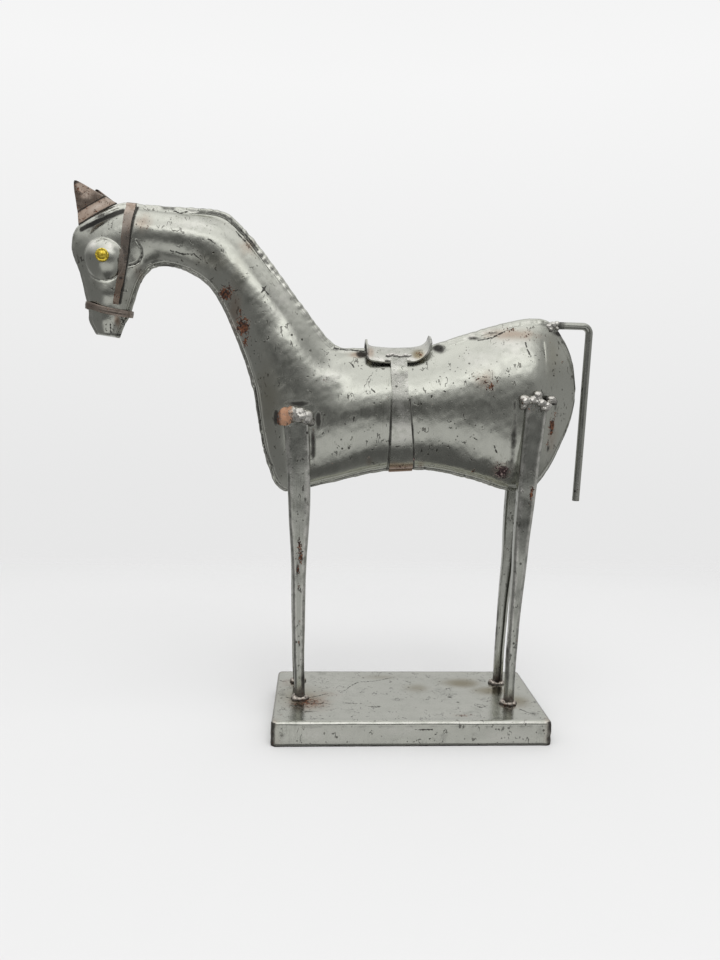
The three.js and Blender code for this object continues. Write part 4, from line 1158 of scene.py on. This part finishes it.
def build_saddle():
    rows, columns = 90, 60
    run = spline(SADDLE_SPINE, np.linspace(0, len(SADDLE_SPINE) - 1, rows))
    along = np.linspace(0, 1, rows)
    fall = 12 * (1 - 0.42 * smoothstep(0.6, 1, along))
    aside = np.linspace(-1, 1, columns)
    sink = fall[:, None] * np.abs(aside[None, :]) ** 1.7
    grid = np.zeros((rows, columns, 3))
    grid[..., 0] = run[:, 0:1]
    grid[..., 1] = HORSE_Y + aside[None, :] * 14
    grid[..., 2] = run[:, 1:2] + 0.3 - sink
    grid[..., 2] += ripples(grid, 101, (26, 0.22), (12, 0.06))
    towards = np.zeros_like(grid)
    towards[..., 2] = 1
    piece = sheet_mesh("saddle_plate", grid, 1.8, towards, crease=50)
    points = points_of(piece)
    px, pz = points[:, 0], points[:, 2]
    paint(piece, "rust", blots(px, pz, [(69.5, 330.5, 4.0, 4.0, 0.62), (26.0, 331.0, 3.0, 3.0, 0.4)]))
    paint(piece, "olive", blots(px, pz, [(68.0, 330.5, 6.0, 5.0, 0.9)]))
    paint(piece, "tint", 0.6 * blots(px, pz, [(27.0, 331.0, 4.0, 6.0, 1.0), (68, 330, 6, 4, 1.0)]))
    # painted highlight along the side edges, and painted shade on the upturned ends
    edge = np.abs(points[:, 1] - HORSE_Y)
    paint(piece, "wear", np.maximum(0.35, 0.8 * smoothstep(12.5, 14, edge)))
    paint(piece, "soot", np.maximum(0.85 * smoothstep(25.5, 23.0, px) * smoothstep(345, 335, pz),
                                    0.5 * smoothstep(76, 80, px) * smoothstep(348, 341, pz)))
    return place(piece, "saddle", SHEET_STEEL)


build_saddle()


def build_girth():
    rows, across = 90, 9
    front = girth_edge(GIRTH_STATION + GIRTH_FRONT, rows)
    rear = girth_edge(GIRTH_STATION + GIRTH_REAR, rows)
    sides = []
    for edge in (front, rear):
        first = edge[0] + np.array([-2.2, 0, 0])
        first[1:] = [15.4, GIRTH_TOP_Z]
        lead = first + (edge[0] - first) * np.linspace(0, 1, 14)[:-1, None]
        last = edge[-1].copy()
        last[1:] = [0.0, edge[-1][2] - 1.15]
        sides.append(np.concatenate([lead, edge, [last]]))
    share = np.linspace(0, 1, across)[None, :, None]
    half = sides[0][:, None] * (1 - share) + sides[1][:, None] * share
    half[..., 1] += 0.35 * np.clip(1 - (np.abs(half[..., 2] - GIRTH_RIDGE_Z) / 1.6) ** 2, 0, 1)
    half[..., 1] += ripples(half, 111, (40, 0.18), (14, 0.05))
    grid = both_sides(half)
    towards = np.zeros_like(grid)
    towards[..., 1] = grid[..., 1] - HORSE_Y
    towards[..., 2] = 0.05 * (grid[..., 2] - GIRTH_TOP_Z)
    piece = sheet_mesh("girth_strap", grid, 1.4, towards, crease=45)
    points = points_of(piece)
    px, pz = points[:, 0], points[:, 2]
    paint(piece, "rust", blots(px, pz, [(57.0, 233.0, 12.0, 3.5, 0.45)]))
    # painted highlight on the upper part of the strap
    paint(piece, "wear", 0.45 * smoothstep(246, 262, pz))
    paint(piece, "tint", 0.9 * smoothstep(242, 232, pz))
    paint(piece, "soot", blots(px, pz, [(50.5, 251.6, 1.0, 1.0, 1.0), (54.0, 252.0, 1.2, 1.0, 1.0),
                                        (57.4, 251.2, 1.0, 1.0, 0.9), (50.8, 315.9, 6.0, 0.6, 0.7),
                                        (50.0, 241.0, 12.0, 7.0, 0.34)]))
    return place(piece, "girth", SHEET_STEEL)


build_girth()


def girth_weld(name, side):
    rng = np.random.default_rng(121 + side)
    blobs = []
    for px in np.linspace(41.5, 60.5, 11):
        size = rng.uniform(1.1, 1.8)
        py = HORSE_Y + side * (16.8 + rng.uniform(-0.3, 0.3))
        blobs.append(((px, py, 328.9 + rng.uniform(-0.6, 0.9)), (size * 1.3, size * 0.9, size)))
    piece, points = lump(name, None, blobs, 0.35, 122 + side, 0.12)
    # painted shade below the top of the strap and a painted highlight on the beads above it
    paint(piece, "soot", 0.9 * smoothstep(GIRTH_TOP_Z, GIRTH_TOP_Z - 1, points[:, 2]))
    paint(piece, "wear", 0.6 * smoothstep(GIRTH_TOP_Z, GIRTH_TOP_Z + 1.4, points[:, 2]))
    return piece


girth_weld("girth_weld_left", -1)
girth_weld("girth_weld_right", 1)

# ------------------------------------------------------------------ plinth


def plinth_loop(inset, z, radius, around):
    """Points evenly round a rectangle with round corners."""
    half_x, half_y = PLINTH_HALF_X - inset, PLINTH_HALF_Y - inset
    turns = np.linspace(0, math.pi / 2, around)
    points = []
    for sx, sy, quarter in ((1, 1, 0), (-1, 1, 1), (-1, -1, 2), (1, -1, 3)):
        for t in turns:
            angle = math.pi / 2 * quarter + t
            points.append((PLINTH_X + sx * (half_x - radius) + radius * math.cos(angle),
                           sy * (half_y - radius) + radius * math.sin(angle), z))
        # a straight run to the next corner
        nx, ny = ((-1, 1), (-1, -1), (1, -1), (1, 1))[quarter]
        angle = math.pi / 2 * (quarter + 1)
        ax = PLINTH_X + sx * (half_x - radius) + radius * math.cos(angle)
        ay = sy * (half_y - radius) + radius * math.sin(angle)
        bx = PLINTH_X + nx * (half_x - radius) + radius * math.cos(angle)
        by = ny * (half_y - radius) + radius * math.sin(angle)
        for t in np.linspace(0, 1, 190 if ay == by else 86)[1:-1]:
            points.append((ax + t * (bx - ax), ay + t * (by - ay), z))
    return np.array(points)


PLINTH_RUST = [
    # x, y, half sizes, strength: stains round the feet, and loose spots
    (-20, -16, 15, 14, 0.58), (-34, -20, 9, 7, 0.42), (-8, -24, 9, 5, 0.42),
    (112, -42.5, 7, 2.2, 0.62), (120, -41, 4, 1.6, 0.5), (-43, -41, 3, 2, 0.5),
    (160, -26, 12, 7, 0.42), (-40, 26, 12, 8, 0.36), (165, 34, 12, 8, 0.4),
]
PLINTH_TINT = [(-20, -17, 20, 18, 0.75), (-6, 0, 14, 12, 0.4), (160, -20, 16, 12, 0.45),
               (112, -42, 10, 4, 0.4), (-40, 24, 14, 14, 0.4)]
PLINTH_OLIVE = [(80, 12, 16, 12, 0.6), (125, 24, 22, 12, 0.85), (150, 8, 20, 12, 0.8),
                (170, -14, 12, 16, 0.7), (-30, -2, 24, 26, 0.6), (50, 38, 24, 8, 0.5)]
PLINTH_SOOT = [
    (41, -25, 3, 1.6, 0.8), (108, -6, 3, 2, 0.75), (113.6, -16.5, 2.2, 1.6, 0.7),
    (131.4, -26.6, 2.2, 1.6, 0.75), (12, -18, 7, 2.4, 0.5), (-20, -34, 9, 2.4, 0.6),
    (-45, 2, 5, 16, 0.4), (20, -2, 12, 6, 0.3), (60, -12, 16, 6, 0.28),
    (-30, 20, 12, 5, 0.4), (176, -40, 5, 6, 0.5), (96, 30, 10, 5, 0.3),
]
PLINTH_LINES = [
    [(3.9, -2), (12, 9), (19.5, 20), (25.4, 26.5), (42.1, 29), (62.2, 38.1)],
    [(8, -15), (15.8, -19), (26, -19)], [(30, -24), (40, -25.5)], [(-38, -22), (-26, -27)],
    [(-24, -9), (-12, -3), (-4, 2)], [(-19, -20), (-6, -18), (0, -21)],
    [(165.8, -30), (172.3, -38), (180, -41)], [(-34, -10), (-42, -6)], [(70, 30), (76, 24)],
]
PLINTH_FRONT_LINES = [[(90.1, 14.5), (88, 11), (83.5, 8), (79.5, 3.4)], [(70, 14.5), (86, 15.5)],
                      [(-40, 4), (-34, 6.5)], [(25, 12), (27, 14.5)]]
PLINTH_FRONT_SOOT = [(6, 8, 1.2, 1.2, 0.9), (15, 8.5, 1.1, 1.1, 0.9), (145, 14, 1.8, 1.6, 0.95),
                     (92, 7, 12, 7, 0.36), (54, 4, 14, 5, 0.34), (120, 13, 8, 4, 0.3),
                     (178, 12, 6, 7, 0.42), (-42, 12, 6, 6, 0.36)]
PLINTH_FRONT_WEAR = [(-10, 10, 26, 6, 1), (60, 14, 22, 4, 1), (150, 8, 22, 6, 1)]


def from_corner_weld(x, y):
    """Distance from the middle of the nearest of the four corner welds."""
    return np.hypot(np.abs(x - PLINTH_X) - (PLINTH_HALF_X - CORNER_WELD_INSET),
                    np.abs(y) - (PLINTH_HALF_Y - CORNER_WELD_INSET))


def build_plinth():
    around = 9
    # up inside the sheet, round its lower edge, up outside, over the bend and across the top
    profile = [(2, 20), (2, 12), (2, 0), (1.6, 0), (0.4, 0), (0, 0.4),
               (0, 3), (0, 7), (0, 11), (0, 15), (0, 18)]
    for t in np.linspace(0, math.pi / 2, 9):
        profile.append((PLINTH_BEND * (1 - math.cos(t)),
                        PLINTH_HEIGHT - PLINTH_BEND + PLINTH_BEND * math.sin(t)))
    rings = [plinth_loop(inset, z, max(PLINTH_CORNER - inset, 1), around) for inset, z in profile]
    for inset in np.arange(4.2, 53.0, 1.25):
        rings.append(plinth_loop(inset, PLINTH_HEIGHT, 1, around))
    rings = np.array(rings)
    # the corner welds bulge, the sides and top are not quite flat
    x, y, z = rings[..., 0], rings[..., 1], rings[..., 2]
    outer = np.ones(rings.shape[:2])
    outer[:3] = 0
    corner = from_corner_weld(x, y)
    bead = bell(corner, 4.2) * outer
    rough = 0.55 + 0.5 * ripples(rings, 131, (7, 0.8), (3.5, 0.5))
    low = smoothstep(21, 16, z)
    rings[..., 0] += np.sign(x - PLINTH_X) * bead * rough * 0.7 * low
    rings[..., 1] += np.sign(y) * bead * rough * 0.7 * low
    side_wall = outer * smoothstep(21, 19, z) * smoothstep(0, 3, z)
    rings[..., 1] += side_wall * ripples(rings, 132, (80, 0.18), (30, 0.06))
    from_rim = np.minimum(PLINTH_HALF_X - np.abs(x - PLINTH_X), PLINTH_HALF_Y - np.abs(y))
    top = smoothstep(21.2, PLINTH_HEIGHT, z) * smoothstep(3, 9, from_rim)
    rings[..., 2] += top * (ripples(rings, 133, (110, 0.16), (45, 0.05)) - 0.12)
    piece = make_mesh("plinth_box", rings, tube_faces(*rings.shape[:2]), 50)
    points = points_of(piece)
    px, py, pz = points.T
    corner = from_corner_weld(px, py)
    on_top = smoothstep(20.5, 21.8, pz)
    on_side = 1 - on_top
    front = on_side * (py < -50)
    feet = [(spec[2][-1][0] + spec[4], HORSE_Y + spec[1] * (spec[3] - 3)) for spec in LEGS]
    ring = blots(px, py, [(fx, fy, 9.0, 7.0, 0.8) for fx, fy in feet])
    # painted shadow along the bottom edge at the floor and painted shade just below the top bend; dark
    # corner welds, rings round the feet and stains on top
    paint(piece, "soot", np.maximum.reduce([
        0.75 * bell(corner - 1.5, 1.6) * on_side, 0.72 * ring * on_top,
        0.8 * on_side * smoothstep(1.6, 0.2, pz), blots(px, py, PLINTH_SOOT) * on_top,
        0.30 * bell(pz - 18.0, 0.9) * on_side, blots(px, pz, PLINTH_FRONT_SOOT) * front]))
    paint(piece, "rust", np.maximum(0.4 * bell(corner, 3.0) * on_side, blots(px, py, PLINTH_RUST) * on_top))
    paint(piece, "tint", np.maximum(0.4 * bell(corner, 6.0), blots(px, py, PLINTH_TINT) * on_top))
    paint(piece, "olive", blots(px, py, PLINTH_OLIVE) * on_top)
    # painted highlight along the top bend, and lighter patches on the front
    paint(piece, "wear", np.maximum(0.55 * bell(pz - 20.8, 0.8),
                                    0.35 * blots(px, pz, PLINTH_FRONT_WEAR) * front))
    paint(piece, "line", np.maximum(strokes(px, py, PLINTH_LINES) * on_top,
                                    strokes(px, pz, PLINTH_FRONT_LINES) * front))
    return place(piece, "plinth", PLINTH_STEEL)


build_plinth()

# ------------------------------------------------------------------ floor, light and camera

FLOOR_WHITE = 0.67
FLOOR_FADES = (0.36, 0.66)     # metres behind the origin where the floor begins and ends to fade


def floor():
    """A white table top that fades into the backdrop behind the horse."""
    mesh = bpy.data.meshes.new("floor")
    mesh.from_pydata([(-3, -2, 0), (3, -2, 0), (3, 0.7, 0), (-3, 0.7, 0)], [], [(0, 1, 2, 3)])
    piece = bpy.data.objects.new("floor", mesh)
    bpy.context.scene.collection.objects.link(piece)
    material = bpy.data.materials.new("floor")
    material.use_nodes = True
    g = Graph(material.node_tree)
    where = g.node("ShaderNodeTexCoord").outputs["Object"]
    back = g.node("ShaderNodeSeparateXYZ", {0: where}).outputs["Y"]
    paper = g.node("ShaderNodeBsdfDiffuse", {"Color": colour(FLOOR_WHITE, FLOOR_WHITE, FLOOR_WHITE)})
    clear = g.node("ShaderNodeBsdfTransparent")
    both = g.node("ShaderNodeMixShader", {0: g.step(back, *FLOOR_FADES), 1: paper, 2: clear})
    g.node("ShaderNodeOutputMaterial", {"Surface": both})
    piece.data.materials.append(material)
    piece.visible_glossy = False


floor()


def sky(g, height, stops):
    """Brightness of the room by elevation: each stop is (degrees above level, brightness)."""
    made = g.node("ShaderNodeValToRGB", {0: height})
    elements = made.color_ramp.elements
    while len(elements) < len(stops):
        elements.new(0.5)
    for element, (degrees, level) in zip(elements, stops):
        element.position = degrees / 180 + 0.5
        element.color = (level / 2, level / 2, level / 2, 1)
    return made.outputs[0]


# What the metal reflects: a white table with dim room beyond it, and soft light above.
TOWARDS_CAMERA = [
    (-90, 0.15), (-40, 0.15), (-36, 0.22), (-32, 0.80), (-26, 0.88), (-13, 0.84), (-10, 0.45), (-8, 0.16),
    (5, 0.16), (9, 0.36), (16, 0.50), (21, 0.80), (24.5, 2), (30, 2), (37, 1.40), (50, 1.35),
    (58, 1.5), (66, 1.6), (76, 1.2), (90, 1.1)]
LEFT = [(-90, 0.36), (-50, 0.40), (-30, 0.27), (12, 0.25), (25, 0.6), (45, 1.3), (70, 1.8), (90, 1.1)]
RIGHT = [
    (-90, 0.3), (-30, 0.3), (-12, 0.5), (10, 0.42), (22, 0.62), (35, 0.5), (46, 0.9), (56, 1.4),
    (90, 1.1),
]
BEHIND = [
    (-90, 0.5), (-30, 0.75), (-10, 0.70), (-4, 0.42), (8, 0.42), (16, 0.75), (28, 0.85), (50, 1),
    (90, 1.1),
]
BACKDROP = [
    (-90, 0.90), (-20, 0.90), (-14, 0.80), (-8, 0.806), (0, 0.833), (11, 0.875), (22, 0.92), (30, 0.90),
    (90, 0.88),
]


def world():
    made = bpy.data.worlds.new("room")
    bpy.context.scene.world = made
    made.use_nodes = True
    g = Graph(made.node_tree)
    direction = g.node("ShaderNodeTexCoord").outputs["Generated"]
    parts = g.node("ShaderNodeSeparateXYZ", {0: direction})
    height = g.math("MULTIPLY_ADD", g.math("ARCSINE", parts.outputs["Z"]), 1 / math.pi, 0.5)
    level = g.node("ShaderNodeVectorMath", {0: direction, 1: (1, 1, 0)}, operation="MULTIPLY")
    level = g.node("ShaderNodeVectorMath", {0: level}, operation="NORMALIZE")
    level = g.node("ShaderNodeSeparateXYZ", {0: level})
    sides = g.mix(g.step(level.outputs["X"], -0.3, 0.3), sky(g, height, LEFT), sky(g, height, RIGHT))
    room = g.mix(g.step(level.outputs["Y"], -0.80, -0.96), sides, sky(g, height, TOWARDS_CAMERA))
    room = g.mix(g.step(level.outputs["Y"], 0.15, 0.75), room, sky(g, height, BEHIND))
    seen = g.node("ShaderNodeLightPath").outputs["Is Camera Ray"]
    lit = g.node("ShaderNodeBackground", {"Color": room, "Strength": 2.0})
    shown = g.node("ShaderNodeBackground", {"Color": sky(g, height, BACKDROP), "Strength": 2.0})
    both = g.node("ShaderNodeMixShader", {0: seen, 1: lit, 2: shown})
    g.node("ShaderNodeOutputWorld", {"Surface": both})


world()


def soft_light(name, spot, target, size, power):
    data = bpy.data.lights.new(name, "AREA")
    data.shape = "DISK"
    data.size = size
    data.energy = power
    light = bpy.data.objects.new(name, data)
    light.location = spot
    light.rotation_mode = "QUATERNION"
    light.rotation_quaternion = (Vector(target) - Vector(spot)).to_track_quat("-Z", "Y")
    light.visible_camera = False
    light.visible_glossy = False
    bpy.context.scene.collection.objects.link(light)


soft_light("overhead", (0.1, -0.5, 1.7), (0.0, 0.0, 0.1), 1.0, 10.0)


def camera():
    data = bpy.data.cameras.new("camera")
    data.sensor_width = CAMERA_SENSOR
    data.lens = CAMERA_LENS
    data.clip_start, data.clip_end = 0.01, 50
    made = bpy.data.objects.new("camera", data)
    yaw, pitch, roll = (math.radians(turn) for turn in (CAMERA_YAW, CAMERA_PITCH, CAMERA_ROLL))
    ahead = Vector((math.sin(yaw) * math.cos(pitch), math.cos(yaw) * math.cos(pitch), -math.sin(pitch)))
    level = Vector((math.cos(yaw), -math.sin(yaw), 0))
    over = level.cross(ahead)
    right = math.cos(roll) * level + math.sin(roll) * over
    up = -math.sin(roll) * level + math.cos(roll) * over
    made.matrix_world = Matrix.Translation(CAMERA_AT) @ Matrix(
        (right, up, -ahead)).transposed().to_4x4()
    bpy.context.scene.collection.objects.link(made)
    bpy.context.scene.camera = made
    bpy.context.scene.view_settings.view_transform = "Standard"


camera()
